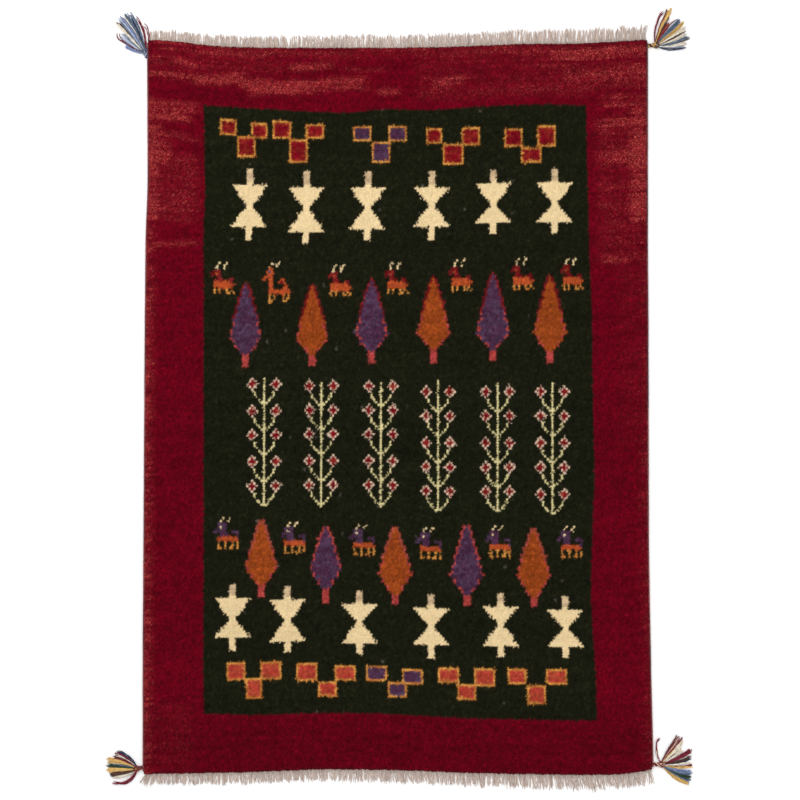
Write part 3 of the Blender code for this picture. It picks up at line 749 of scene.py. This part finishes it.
def pile_block(name, first, last, surface, paints, colours, share):
    """One third of the pile: its share of the surface, closed by walls down to the woven ground
    and by a flat underside of long quads. It carries the dyes, with painted shade on its walls and
    underside, and the share of lighter wool."""
    part = surface[:, 2 * first:2 * last + 1]
    rows, files = part.shape[:2]
    top = part.reshape(-1, 3)
    ring = rim_loop(rows, files)
    foot = top[ring].copy()
    left = read_table(LEFT_SIDE, foot[:, 1]) + 2 * CORD_RADIUS + CLEARANCE
    right = read_table(RIGHT_SIDE, foot[:, 1]) - 2 * CORD_RADIUS - CLEARANCE
    foot[:, 0] = np.clip(foot[:, 0], left, right)
    near, far = read_table(NEAR_END, foot[:, 0]), read_table(FAR_END, foot[:, 0])
    foot[:, 1] = np.clip(foot[:, 1], near, far)
    foot[:, 2] = BAND_THICK - CLEARANCE
    below = len(top) + np.arange(len(ring))
    points = np.concatenate((top, foot))
    quads = grid_quads(rows, files)
    walls = wall_quads(below, ring)
    rungs, near_cap, far_cap = (faces[..., ::-1] for faces in lid_faces(below, rows, files, deep=12))
    corners = np.concatenate((quads.ravel(), walls.ravel(), rungs.ravel(), near_cap, far_cap))
    counts = [4] * (len(quads) + len(walls) + len(rungs)) + [len(near_cap), len(far_cap)]
    mine = colours[::-1, first:last]
    faces = np.repeat(np.repeat(mine, 2, axis=0), 2, axis=1)
    around = np.concatenate((faces[0, :], faces[:, -1], faces[-1, ::-1], faces[::-1, 0]))
    plain = np.broadcast_to(mine.mean(axis=(0, 1)), (len(rungs) * 4 + len(near_cap) + len(far_cap), 3))
    # Painted shade: the walls take their edge knots' dyes darkened to 0.8, and the hidden underside takes
    # the block's mean dye darkened to 0.6.
    paint = np.concatenate((
        paints[:, 2 * first:2 * last].reshape(-1, 3), np.repeat(around, 4, axis=0) * 0.8, plain * 0.6,
    ))
    block = put_mesh(name, points, corners, counts, paint, "CORNER", smooth=len(quads))
    lighter = np.repeat(np.repeat(share[::-1, first:last], 2, axis=0), 2, axis=1)
    lighter = np.pad(lighter, ((0, 1), (0, 1)), mode="edge").ravel()
    layer = block.data.attributes.new("lighter", "FLOAT", "POINT")
    layer.data.foreach_set("value", np.concatenate((lighter, lighter[ring])).astype(np.float32))
    return block


def woven_ground(colours):
    """The ground cloth under the pile: a closed sheet whose underside shows every second knot's
    back, with each row pressed into a low rib, and whose top is hidden."""
    step = 2
    rows, files = ROWS // step + 1, COLUMNS // step + 1
    across, along = np.meshgrid(np.linspace(0, 1, files), np.linspace(0, 1, rows))
    x, y = body_point(across, along)
    x, y = x * (1 - CLEARANCE), y * (1 - CLEARANCE)
    rib = 0.0004 * (np.arange(rows)[:, None] % 2) * np.ones((1, files))
    low = np.stack((x, y, rib), axis=-1).reshape(-1, 3)
    ring = rim_loop(rows, files)
    lid = low[ring].copy()
    lid[:, 2] = BAND_THICK
    above = len(low) + np.arange(len(ring))
    quads = grid_quads(rows, files)[:, ::-1]
    walls = wall_quads(ring, above)
    rungs, near_cap, far_cap = lid_faces(above, rows, files, deep=3)
    corners = np.concatenate((quads.ravel(), walls.ravel(), rungs.ravel(), near_cap, far_cap))
    counts = [4] * (len(quads) + len(walls) + len(rungs)) + [len(near_cap), len(far_cap)]
    mine = colours[::-1][step // 2::step, step // 2::step][:rows - 1, :files - 1] * 0.8
    hidden = len(walls) * 4 + len(rungs) * 4 + len(near_cap) + len(far_cap)
    # Painted shade: the hidden walls and top take the grey cotton darkened to half.
    plain = np.broadcast_to(dye("cotton_shade") * 0.5, (hidden, 3))
    paint = np.concatenate((np.repeat(mine.reshape(-1, 3), 4, axis=0), plain))
    return put_mesh("woven_ground", np.concatenate((low, lid)), corners, counts, paint, "CORNER")


def strand_mesh(name, paths, half_widths, half_heights, twist, sides, colours):
    """Many closed strands in one mesh, one oval carried along each path.

    At every path point the oval stands square to the path. It is turned about the path by the
    twist there, so that a flat oval reads as plied yarn. paths is strands x points x 3, the other
    arrays are strands x points, and colours strands x points x 3."""
    count, length = paths.shape[:2]
    ahead = np.gradient(paths, axis=1)
    ahead /= np.linalg.norm(ahead, axis=-1, keepdims=True)
    aside = np.cross(np.array((0.0, 0.0, 1.0)), ahead)
    aside /= np.maximum(np.linalg.norm(aside, axis=-1, keepdims=True), 1e-9)
    lift = np.cross(ahead, aside)
    angle = 2 * math.pi * np.arange(sides) / sides
    flat_u = np.cos(angle) * half_widths[..., None]
    flat_v = np.sin(angle) * half_heights[..., None]
    turn_cos, turn_sin = np.cos(twist)[..., None], np.sin(twist)[..., None]
    u = flat_u * turn_cos - flat_v * turn_sin
    v = flat_u * turn_sin + flat_v * turn_cos
    rings = paths[:, :, None] + aside[:, :, None] * u[..., None] + lift[:, :, None] * v[..., None]
    index = np.arange(count * length * sides).reshape(count, length, sides)
    after = np.roll(index, -1, axis=2)
    quads = np.stack((index[:, :-1], after[:, :-1], after[:, 1:], index[:, 1:]), axis=-1)
    corners = np.concatenate((quads.ravel(), index[:, 0, ::-1].ravel(), index[:, -1].ravel()))
    counts = np.concatenate((np.full(quads[..., 0].size, 4), np.full(2 * count, sides)))
    paint = np.repeat(colours[:, :, None], sides, axis=2).reshape(-1, 3)
    return put_mesh(name, rings.reshape(-1, 3), corners, counts, paint, smooth=quads[..., 0].size)


def side_cord(name, side):
    """A side cord: a round core along the pile's edge, its radius swelling once for each wrap of
    the overcast, with the wraps' crests running slantwise round it."""
    size = sizes()
    outward = 1 if side else -1
    span = 2 * HALF_LENGTH
    stops = int(span / size.overcast_pitch * 4)
    along = np.linspace(0.0026, 1 - 0.0026, stops)
    path_x, path_y = body_point(np.full(stops, float(side)), along)
    sides = 8
    seed = 5 + side
    rng = np.random.default_rng(seed)
    wraps = np.arange(stops) / 4
    uneven = np.interp(wraps, np.arange(int(wraps[-1]) + 2), rng.normal(0, 1, int(wraps[-1]) + 2))
    angle = 2 * math.pi * np.arange(sides) / sides
    phase = 2 * math.pi * wraps[:, None] + angle[None, :]
    swell = 1 + 0.13 * np.abs(np.sin(phase / 2)) + 0.035 * uneven[:, None]
    slow = 1 + 0.06 * drift(path_y, 0.13, seed)[:, None] + 0.05 * drift(path_y, 0.0125, seed)[:, None]
    radius = CORD_RADIUS * 0.97 * swell * slow
    middle_x = path_x + outward * (CORD_RADIUS + CLEARANCE / 2)
    middle_z = CORD_RADIUS * 1.08 + 0.0002 * drift(path_y, 0.19, seed)
    x = middle_x[:, None] + np.cos(angle) * radius
    z = np.maximum(middle_z[:, None] + np.sin(angle) * radius, 0.0)
    y = np.broadcast_to(path_y[:, None], x.shape)
    points = np.stack((x, y, z), axis=-1).reshape(-1, 3)
    index = np.arange(stops * sides).reshape(stops, sides)
    after = np.roll(index, -1, axis=1)
    quads = np.stack((index[:-1], index[1:], after[1:], after[:-1]), axis=-1)
    corners = np.concatenate((quads.ravel(), index[0], index[-1][::-1]))
    counts = [4] * (quads.size // 4) + [sides, sides]
    share = np.clip(0.35 + 0.5 * drift(path_y, 0.31, seed) + side * 0.35 * (path_y > 0), 0, 1)[:, None]
    base = dye("cord") * (1 - share) + dye("cord_dark") * share
    # Painted shade: each wrap is darker in its groove and lighter on its crest, in step with the swell of
    # the radius. The slow uneven tone from wrap to wrap is the wool's own.
    level = np.exp(0.16 * uneven)[:, None, None] * (0.75 + 0.35 * np.abs(np.sin(phase / 2)))[..., None]
    paint = (base[:, None] * level).reshape(-1, 3)
    return put_mesh(name, points, corners, counts, paint)


def warp_fringe(name, table, end, seed):
    """One end's fringe: cut warp ends that leave the woven band in locks. A warp end runs straight,
    leans with its lock and bows a little, and sinks from the band to the floor."""
    size = sizes()
    outward = 1 if end else -1
    locks = 114
    each = size.warps_per_lock
    rng = np.random.default_rng(seed)
    count = locks * each
    shares = (np.arange(count) + 0.5) / count
    root_x, root_y = body_point(shares, np.full(count, float(end)))
    lock = np.arange(count) // each
    lock_x = root_x.reshape(locks, each).mean(axis=1)
    length = (read_table(table, root_x) - BAND_DEPTH) * 1.02
    length = length * (1.04 + 0.10 * drift(root_x, 0.055, seed) + rng.uniform(-0.12, 0.08, locks)[lock]
                       + rng.uniform(-0.24, 0.10, count))
    lean = read_table(table, root_x, 2) + 6 * drift(lock_x, 0.047, seed + 0.7)[lock]
    lean = np.radians(lean + rng.uniform(-6, 6, locks)[lock] + rng.uniform(-14, 14, count))
    stops = 8
    run = np.linspace(0, 1, stops)[None, :]
    bow = rng.uniform(-0.0016, 0.0016, count)[:, None] * np.sin(math.pi * run)
    wave = rng.uniform(-0.0006, 0.0006, count)[:, None] * np.sin(2.6 * math.pi * run + 1)
    pinch = (lock_x[lock] - root_x)[:, None] * 0.12 * run
    start = root_y + outward * BAND_DEPTH * 0.15
    x = root_x[:, None] + np.sin(lean)[:, None] * length[:, None] * run + bow + wave + pinch
    y = start[:, None] + outward * np.cos(lean)[:, None] * (length[:, None] + BAND_DEPTH * 0.85) * run
    half = size.warp_thickness / 2 * rng.uniform(0.82, 1.2, count)
    layer = rng.uniform(0, 0.0012, count)[:, None] * np.sin(math.pi * np.clip(run * 1.1, 0, 1))
    z = half[:, None] * 1.05 + (0.0040 - half[:, None]) * np.clip(1 - run * 2.5, 0, 1) ** 1.5 + layer
    paths = np.stack((x, y, z), axis=-1)
    tip = np.interp(run, (0, 0.6, 0.85, 1.0), (1.0, 1.0, 0.9, 0.35)) * np.ones((count, 1))
    twist = rng.uniform(0, 6.28, count)[:, None] + run * 4.5
    mix = np.clip(rng.normal(0.35, 0.28, count), 0, 1)[:, None, None]
    base = dye("cotton") * (1 - mix) + dye("cotton_shade") * mix
    # Painted shade: each warp end is darker towards its root beside the pile, down to 0.85 there, times a
    # random tone of its own.
    shade = np.clip(0.85 + 0.4 * run, 0, 1)[..., None] * np.exp(rng.normal(0, 0.07, count))[:, None, None]
    thick = half[:, None] * tip
    return strand_mesh(name, paths, thick, thick * 0.72, twist, 5, base * shade)


def end_band(name, end, seed):
    """The narrow woven band behind a fringe: a strip closed all round, its top waved by the warps
    across and by the wefts along."""
    outward = 1 if end else -1
    files, rows = 2 * COLUMNS + 1, 7
    shares = np.linspace(0.0012, 1 - 0.0012, files)
    edge_x, edge_y = body_point(shares, np.full(files, float(end)))
    rng = np.random.default_rng(seed)
    depth = np.linspace(-0.0004, BAND_DEPTH * 0.96, rows)
    x = np.broadcast_to(edge_x, (rows, files))
    y = edge_y + outward * depth[:, None]
    weave = 0.0003 * np.cos(math.pi * np.arange(files))[None, :] * np.cos(math.pi * np.arange(rows))[:, None]
    z = BAND_THICK * 0.86 + weave + rng.normal(0, 0.00008, (rows, files))
    top = np.stack((x, y, z), axis=-1)
    low = top.copy()
    low[..., 2] = 0.0
    if outward < 0:
        top, low = top[::-1], low[::-1]
    size = rows * files
    ring = rim_loop(rows, files)
    quads = grid_quads(rows, files)
    under = grid_quads(rows, files, size)[:, ::-1]
    walls = wall_quads(ring + size, ring)
    corners = np.concatenate((quads.ravel(), under.ravel(), walls.ravel()))
    counts = [4] * (len(quads) + len(under) + len(walls))
    level = np.exp(rng.normal(0, 0.10, (2, rows, files)))[..., None]
    paint = (dye("cotton") * 0.95 * level).reshape(-1, 3)
    points = np.concatenate((top.reshape(-1, 3), low.reshape(-1, 3)))
    return put_mesh(name, points, corners, counts, paint)


def walked(steps):
    """The places that steps along each row lead to, the first of them at zero."""
    return np.cumsum(steps, axis=1) - steps[:, :1]


def tassel(name, corner, seed):
    """One corner's yarns: each leaves the knot, bends evenly, so that its chord keeps the bundle's
    direction, curls near the tip, and sinks from the knot to the floor over its neighbours."""
    rng = np.random.default_rng(seed)
    place = np.array(KNOTS[corner][0])
    stops = 26
    run = np.linspace(0, 1, stops)
    paths, halves, twists, paints = [], [], [], []
    bearings = [bundle[1] for bundle in BUNDLES[corner]]
    heading = (min(bearings) + max(bearings)) / 2
    spread = (max(bearings) - min(bearings)) / 2
    for colour, bearing, length, yarns, fan, bend, curl, thick in BUNDLES[corner]:
        offsets = np.linspace(-0.5, 0.5, yarns) if yarns > 1 else np.zeros(1)
        aim = bearing + offsets * fan + rng.uniform(-0.6, 0.6, yarns)
        reach = length * (1 - 0.10 * np.abs(offsets) + rng.uniform(-0.07, 0.03, yarns))
        brush = bend + BRUSH * (heading - bearing) / spread
        turning = brush * (2 * run[None, :] - 1) * rng.uniform(0.6, 1.4, (yarns, 1))
        hook = curl * rng.uniform(0.5, 1.2, (yarns, 1)) * np.clip((run[None, :] - 0.72) / 0.28, 0, 1) ** 2
        sway = 7 * np.sin(2 * math.pi * (run[None, :] * rng.uniform(1.2, 2.2, (yarns, 1))
                                         + rng.uniform(0, 1, (yarns, 1)))) * run[None, :]
        way = np.radians(aim[:, None] + turning + hook + sway)
        step = reach[:, None] / (stops - 1)
        apart = BRUSH_REACH * np.sin(np.radians(aim - heading)) / max(math.sin(math.radians(spread)), 0.1)
        side = math.radians(heading + 90)
        x = place[0] + apart[:, None] * math.cos(side) + walked(np.cos(way) * step)
        y = place[1] + apart[:, None] * math.sin(side) + walked(np.sin(way) * step)
        half = thick * 0.78 * rng.uniform(0.88, 1.12, yarns)
        floor = half[:, None] * (1.0 + 1.3 * (np.arange(yarns) % 2)[:, None])
        high = 0.0034 + rng.uniform(-0.0012, 0.0016, yarns)[:, None]
        over = rng.uniform(0, 0.0012, yarns)[:, None] * np.sin(math.pi * run)[None, :] ** 2
        z = floor + (high - floor) * (1 - np.clip(run / 0.42, 0, 1)[None, :]) ** 1.5 + over
        paths.append(np.stack((x, y, z), axis=-1))
        halves.append(half[:, None] * (1 - 0.35 * np.clip((run[None, :] - 0.9) / 0.1, 0, 1)))
        twists.append(rng.uniform(0, 6.28, (yarns, 1)) + run[None, :] * reach[:, None] / 0.0045)
        level = np.exp(rng.normal(0, 0.12, (yarns, 1)) + rng.normal(0, 0.05, (yarns, stops)))
        # Painted shade: each yarn is darker towards the knot, down to 0.7 there, times a random tone of its
        # own.
        paints.append(dye(colour) * level[..., None] * np.clip(0.7 + run * 0.6, 0, 1)[None, :, None])
    paths, halves = np.concatenate(paths), np.concatenate(halves)
    return strand_mesh(name, paths, halves, halves * 0.68, np.concatenate(twists), 6,
                       np.concatenate(paints))


def tassel_knot(name, tassel_name, seed):
    """The knot of a tassel: three loops of yarn tied round the bundle, each a flattened ring wound
    one and a half times on a tilted course, and a twisted neck back to the side cord."""
    rng = np.random.default_rng(seed)
    place, anchor = (np.array(point) for point in KNOTS[tassel_name])
    stops = 40
    run = np.linspace(0, 1, stops)
    paths, halves, paints = [], [], []
    for order, colour in enumerate(WRAPS[tassel_name]):
        for lay in range(3):
            turn = 2 * math.pi * (run * 1.45 + rng.uniform(0, 1))
            wide = 0.0046 + 0.0005 * order + rng.uniform(-0.0003, 0.0003)
            tilt = rng.uniform(0, 6.28)
            x = place[0] + wide * np.cos(turn)
            y = place[1] + wide * np.sin(turn)
            z = 0.0022 + 0.0013 * lay + 0.0011 * np.sin(turn + tilt) + 0.0005 * run
            paths.append(np.stack((x, y, z), axis=-1))
            halves.append(np.full(stops, 0.0013 + rng.uniform(-0.0001, 0.0002)))
            paints.append(np.broadcast_to(dye(colour) * math.exp(rng.normal(0, 0.12)), (stops, 3)))
    gap = anchor - place
    far = float(np.hypot(*gap))
    aside = np.array((-gap[1], gap[0])) / far
    for ply in range(5):
        turn = 2 * math.pi * (run * far / 0.016 + ply / 5)
        spot = place[None, :] + gap[None, :] * run[:, None] + aside[None, :] * 0.0030 * np.cos(turn)[:, None]
        z = 0.0036 + 0.0020 * np.sin(turn)
        paths.append(np.concatenate((spot, z[:, None]), axis=1))
        halves.append(np.full(stops, 0.0014))
        colour = WRAPS[tassel_name][ply % 3]
        paints.append(np.broadcast_to(dye(colour) * math.exp(rng.normal(0, 0.12)), (stops, 3)))
    paths, halves = np.stack(paths), np.stack(halves)
    paths[..., 2] = np.maximum(paths[..., 2], halves)
    twist = rng.uniform(0, 6.28, (len(paths), 1)) + run[None, :] * 14
    return strand_mesh(name, paths, halves, halves * 0.72, twist, 6, np.stack(paints))


def set_inputs(tree, node, inputs):
    """Link each socket given to the node's input, or set the value given on it."""
    for key, value in inputs.items():
        if isinstance(value, bpy.types.NodeSocket):
            tree.links.new(value, node.inputs[key])
        else:
            node.inputs[key].default_value = value


def add_node(tree, kind, inputs=None, **values):
    """Add a shader node, set its plain attributes, and link or set its inputs."""
    node = tree.nodes.new(kind)
    for key, value in values.items():
        setattr(node, key, value)
    set_inputs(tree, node, inputs or {})
    return node


def fibre_group():
    """A node group for loose wool: a fine fibre grain in two sizes, given as a shade that
    multiplies the dye and as a height for the bump."""
    old = bpy.data.node_groups.get("wool fibre")
    if old:
        return old
    tree = bpy.data.node_groups.new("wool fibre", "ShaderNodeTree")
    tree.interface.new_socket(name="Place", in_out="INPUT", socket_type="NodeSocketVector")
    for label, value in (("Fibre scale", 900.0), ("Clump scale", 260.0), ("Depth", 0.3)):
        socket = tree.interface.new_socket(name=label, in_out="INPUT", socket_type="NodeSocketFloat")
        socket.default_value = value
    for label in ("Shade", "Height"):
        tree.interface.new_socket(name=label, in_out="OUTPUT", socket_type="NodeSocketFloat")
    entry, leave = add_node(tree, "NodeGroupInput"), add_node(tree, "NodeGroupOutput")
    fine, clump = (
        add_node(tree, "ShaderNodeTexNoise", {
            "Vector": entry.outputs["Place"], "Scale": entry.outputs[scale], "Detail": detail,
        }) for scale, detail in (("Fibre scale", 3.0), ("Clump scale", 2.0)))
    both = add_node(tree, "ShaderNodeMath", {0: fine.outputs["Fac"], 1: clump.outputs["Fac"]},
                    operation="ADD")
    centred = add_node(tree, "ShaderNodeMath", {0: both.outputs[0], 1: 1.0}, operation="SUBTRACT")
    shade = add_node(tree, "ShaderNodeMath",
                     {0: centred.outputs[0], 1: entry.outputs["Depth"], 2: 1.0}, operation="MULTIPLY_ADD")
    set_inputs(tree, leave, {"Height": both.outputs[0], "Shade": shade.outputs[0]})
    return tree


def wool_material(name):
    """A wool or cotton finish: the dye held in the mesh, times the fibre group's shade, with
    roughness that follows the clumps, a fine bump, and a soft sheen."""
    fibre, clump, depth, bump, roughness = FINISHES[name]
    material = bpy.data.materials.new(name)
    material.use_nodes = True
    tree = material.node_tree
    colour = add_node(tree, "ShaderNodeAttribute", attribute_name="dye")
    place = add_node(tree, "ShaderNodeTexCoord")
    group = add_node(tree, "ShaderNodeGroup", {
        "Place": place.outputs["Object"], "Fibre scale": fibre, "Clump scale": clump, "Depth": depth,
    }, node_tree=fibre_group())
    height = group.outputs["Height"]
    shaded = add_node(tree, "ShaderNodeVectorMath", {
        0: colour.outputs["Color"], "Scale": group.outputs["Shade"],
    }, operation="SCALE")
    rough = add_node(tree, "ShaderNodeMapRange", {
        "Value": height, "From Min": 0.6, "From Max": 1.4,
        "To Min": roughness - 0.07, "To Max": roughness + 0.05,
    })
    relief = add_node(tree, "ShaderNodeBump", {"Height": height, "Strength": 0.8, "Distance": bump})
    set_inputs(tree, tree.nodes["Principled BSDF"], {
        "Base Color": shaded.outputs["Vector"], "Roughness": rough.outputs["Result"],
        "Normal": relief.outputs["Normal"], "Sheen Weight": 0.02, "Sheen Roughness": 0.6,
        "Specular IOR Level": 0.01,
    })
    return material


def mix_lighter_wool(material):
    """Let tufts of lighter madder through the pile's dye: single short fibres, by a noise that is
    cut where the mesh's share of lighter wool lies."""
    tree = material.node_tree
    share = add_node(tree, "ShaderNodeAttribute", attribute_name="lighter").outputs["Fac"]
    place = add_node(tree, "ShaderNodeTexCoord")
    speck = add_node(tree, "ShaderNodeTexNoise", {
        "Vector": place.outputs["Object"], "Scale": 520.0, "Detail": 2.0, "Distortion": 1.6,
    })
    lifted = add_node(tree, "ShaderNodeMath", {0: share, 1: 0.36, 2: speck.outputs["Fac"]},
                      operation="MULTIPLY_ADD")
    cut = add_node(tree, "ShaderNodeMapRange", {
        "Value": lifted.outputs[0], "From Min": 0.68, "From Max": 0.80,
    })
    gate = add_node(tree, "ShaderNodeMath", {0: share, 1: 9.0}, operation="MULTIPLY", use_clamp=True)
    shown = add_node(tree, "ShaderNodeMath", {0: cut.outputs["Result"], 1: gate.outputs[0]},
                     operation="MULTIPLY")
    shader = tree.nodes["Principled BSDF"]
    mixed = add_node(tree, "ShaderNodeMix", {
        "Factor": shown.outputs[0], "A": shader.inputs["Base Color"].links[0].from_socket,
        "B": (*dye("madder"), 1.0),
    }, data_type="RGBA")
    set_inputs(tree, shader, {"Base Color": mixed.outputs["Result"]})


class GABBEH_OT_pile(bpy.types.Operator):
    """Knot the pile in three blocks over the woven ground"""
    bl_idname = "gabbeh.pile"
    bl_label = "Knotted pile"

    def execute(self, context):
        colours, share = knot_colours(draw_chart())
        surface = pile_surface(colours)
        paints = blend_corners(loosen(colours[::-1]))
        wool = wool_material("shorn_pile_wool")
        mix_lighter_wool(wool)
        for name, first, last in BLOCKS:
            block = pile_block(name, first, last, surface, paints, colours, share)
            finish_piece(block, wool, "pile_wool", "rug_body")
        back = wool_material("woven_back_wool")
        finish_piece(woven_ground(colours), back, "pile_wool", "rug_body")
        return {"FINISHED"}


class GABBEH_OT_side_cords(bpy.types.Operator):
    """Overcast the two long sides"""
    bl_idname = "gabbeh.side_cords"
    bl_label = "Side cords"

    def execute(self, context):
        wool = wool_material("overcast_wool")
        finish_piece(side_cord("overcast_left", 0), wool, "cord_wool", "selvedge_left")
        finish_piece(side_cord("overcast_right", 1), wool, "cord_wool", "selvedge_right")
        return {"FINISHED"}


class GABBEH_OT_fringes(bpy.types.Operator):
    """Weave the end bands and lay out the cut warp ends"""
    bl_idname = "gabbeh.fringes"
    bl_label = "Warp fringes"

    def execute(self, context):
        cotton = wool_material("warp_cotton")
        for end, place, table, node, seed in ENDS:
            finish_piece(warp_fringe("warp_ends_" + place, table, end, seed), cotton, "warp_cotton", node)
            finish_piece(end_band("end_band_" + place, end, seed + 30), cotton, "warp_cotton", node)
        return {"FINISHED"}


class GABBEH_OT_tassels(bpy.types.Operator):
    """Tie the four corner tassels"""
    bl_idname = "gabbeh.tassels"
    bl_label = "Corner tassels"

    def execute(self, context):
        wool = wool_material("tassel_yarn_wool")
        for seed, node in enumerate(KNOTS):
            corner = node[len("tassel_"):]
            finish_piece(tassel("yarns_" + corner, node, 40 + seed), wool, "tassel_wool", node)
            finish_piece(tassel_knot("knot_" + corner, node, 60 + seed), wool, "tassel_wool", node)
        return {"FINISHED"}


class GABBEH_OT_stage(bpy.types.Operator):
    """Lay the pale floor and set the soft lights and the camera straight above"""
    bl_idname = "gabbeh.stage"
    bl_label = "Floor, lights and camera"

    def execute(self, context):
        scene = context.scene
        steps = 21
        line = np.linspace(-FLOOR_SPAN / 2, FLOOR_SPAN / 2, steps)
        x, y = np.meshgrid(line, line)
        points = np.stack((x, y, np.full_like(x, -FLOOR_DROP)), axis=-1).reshape(-1, 3)
        quads = grid_quads(steps, steps)
        floor = put_mesh("floor", points, quads.ravel(), [4] * len(quads))
        paper = bpy.data.materials.new("pale_floor")
        paper.use_nodes = True
        tree = paper.node_tree
        grain = add_node(tree, "ShaderNodeTexNoise", {"Scale": 6.0})
        tone = add_node(tree, "ShaderNodeMapRange", {
            "Value": grain.outputs["Fac"], "To Min": 0.96, "To Max": 0.98,
        })
        # The floor also glows faintly, which lifts its brightness and softens the shadows on it.
        set_inputs(tree, tree.nodes["Principled BSDF"], {
            "Base Color": tone.outputs["Result"], "Roughness": 0.9, "Specular IOR Level": 0.1,
            "Emission Color": (1.0, 1.0, 1.0, 1.0), "Emission Strength": 0.06,
        })
        floor.data.materials.append(paper)
        for name, place, span, power in (("soft_key", (-1.3, 1.6, 3.2), 2.4, 68.0),
                                         ("soft_fill", (1.6, -1.4, 3.0), 2.6, 32.0)):
            lamp = bpy.data.lights.new(name, "AREA")
            lamp.shape = "SQUARE"
            lamp.size = span
            lamp.energy = power
            light = bpy.data.objects.new(name, lamp)
            light.location = place
            aim = np.array(place)
            flat = math.hypot(aim[0], aim[1])
            light.rotation_euler = (math.atan2(flat, aim[2]), 0.0, math.atan2(aim[1], aim[0]) + math.pi / 2)
            scene.collection.objects.link(light)
        world = bpy.data.worlds.new("studio")
        world.use_nodes = True
        set_inputs(world.node_tree, world.node_tree.nodes["Background"],
                   {"Color": (1.0, 1.0, 1.0, 1.0), "Strength": 0.56})
        scene.world = world
        scene.view_settings.view_transform = "Standard"
        lens = bpy.data.cameras.new("overhead")
        lens.lens = VIEW_LENS
        lens.sensor_width = VIEW_SENSOR
        lens.clip_end = 50.0
        camera = bpy.data.objects.new("overhead", lens)
        height = VIEW_SPAN * VIEW_LENS / VIEW_SENSOR
        camera.location = (*VIEW_MIDDLE, BODY_BOX[1][2] + height)
        scene.collection.objects.link(camera)
        scene.camera = camera
        return {"FINISHED"}


class GABBEH_PT_rug(bpy.types.Panel):
    """The rug's sizes, dyes and pieces"""
    bl_label = "Gabbeh rug"
    bl_idname = "GABBEH_PT_rug"
    bl_space_type = "VIEW_3D"
    bl_region_type = "UI"
    bl_category = "Rug"

    def draw(self, context):
        layout = self.layout
        for group in (context.scene.gabbeh_sizes, context.scene.gabbeh_dyes):
            for key in type(group).__annotations__:
                layout.prop(group, key)
        for operator in STEPS:
            layout.operator(operator.bl_idname)


STEPS = (GABBEH_OT_pile, GABBEH_OT_side_cords, GABBEH_OT_fringes, GABBEH_OT_tassels, GABBEH_OT_stage)
CLASSES = (GABBEH_PG_sizes, GABBEH_PG_dyes, *STEPS, GABBEH_PT_rug)


def register():
    """Register the classes and the two groups of settings."""
    for item in CLASSES:
        bpy.utils.register_class(item)
    bpy.types.Scene.gabbeh_sizes = PointerProperty(type=GABBEH_PG_sizes)
    bpy.types.Scene.gabbeh_dyes = PointerProperty(type=GABBEH_PG_dyes)


def unregister():
    """Take the settings and the classes away again."""
    del bpy.types.Scene.gabbeh_dyes
    del bpy.types.Scene.gabbeh_sizes
    for item in reversed(CLASSES):
        bpy.utils.unregister_class(item)


def plain(box):
    """Two corners as plain lists of numbers."""
    return [[float(value) for value in corner] for corner in box]


def main():
    register()
    bpy.ops.gabbeh.pile()
    bpy.ops.gabbeh.side_cords()
    bpy.ops.gabbeh.fringes()
    bpy.ops.gabbeh.tassels()
    bpy.ops.gabbeh.stage()


if __name__ == "__main__":
    main()
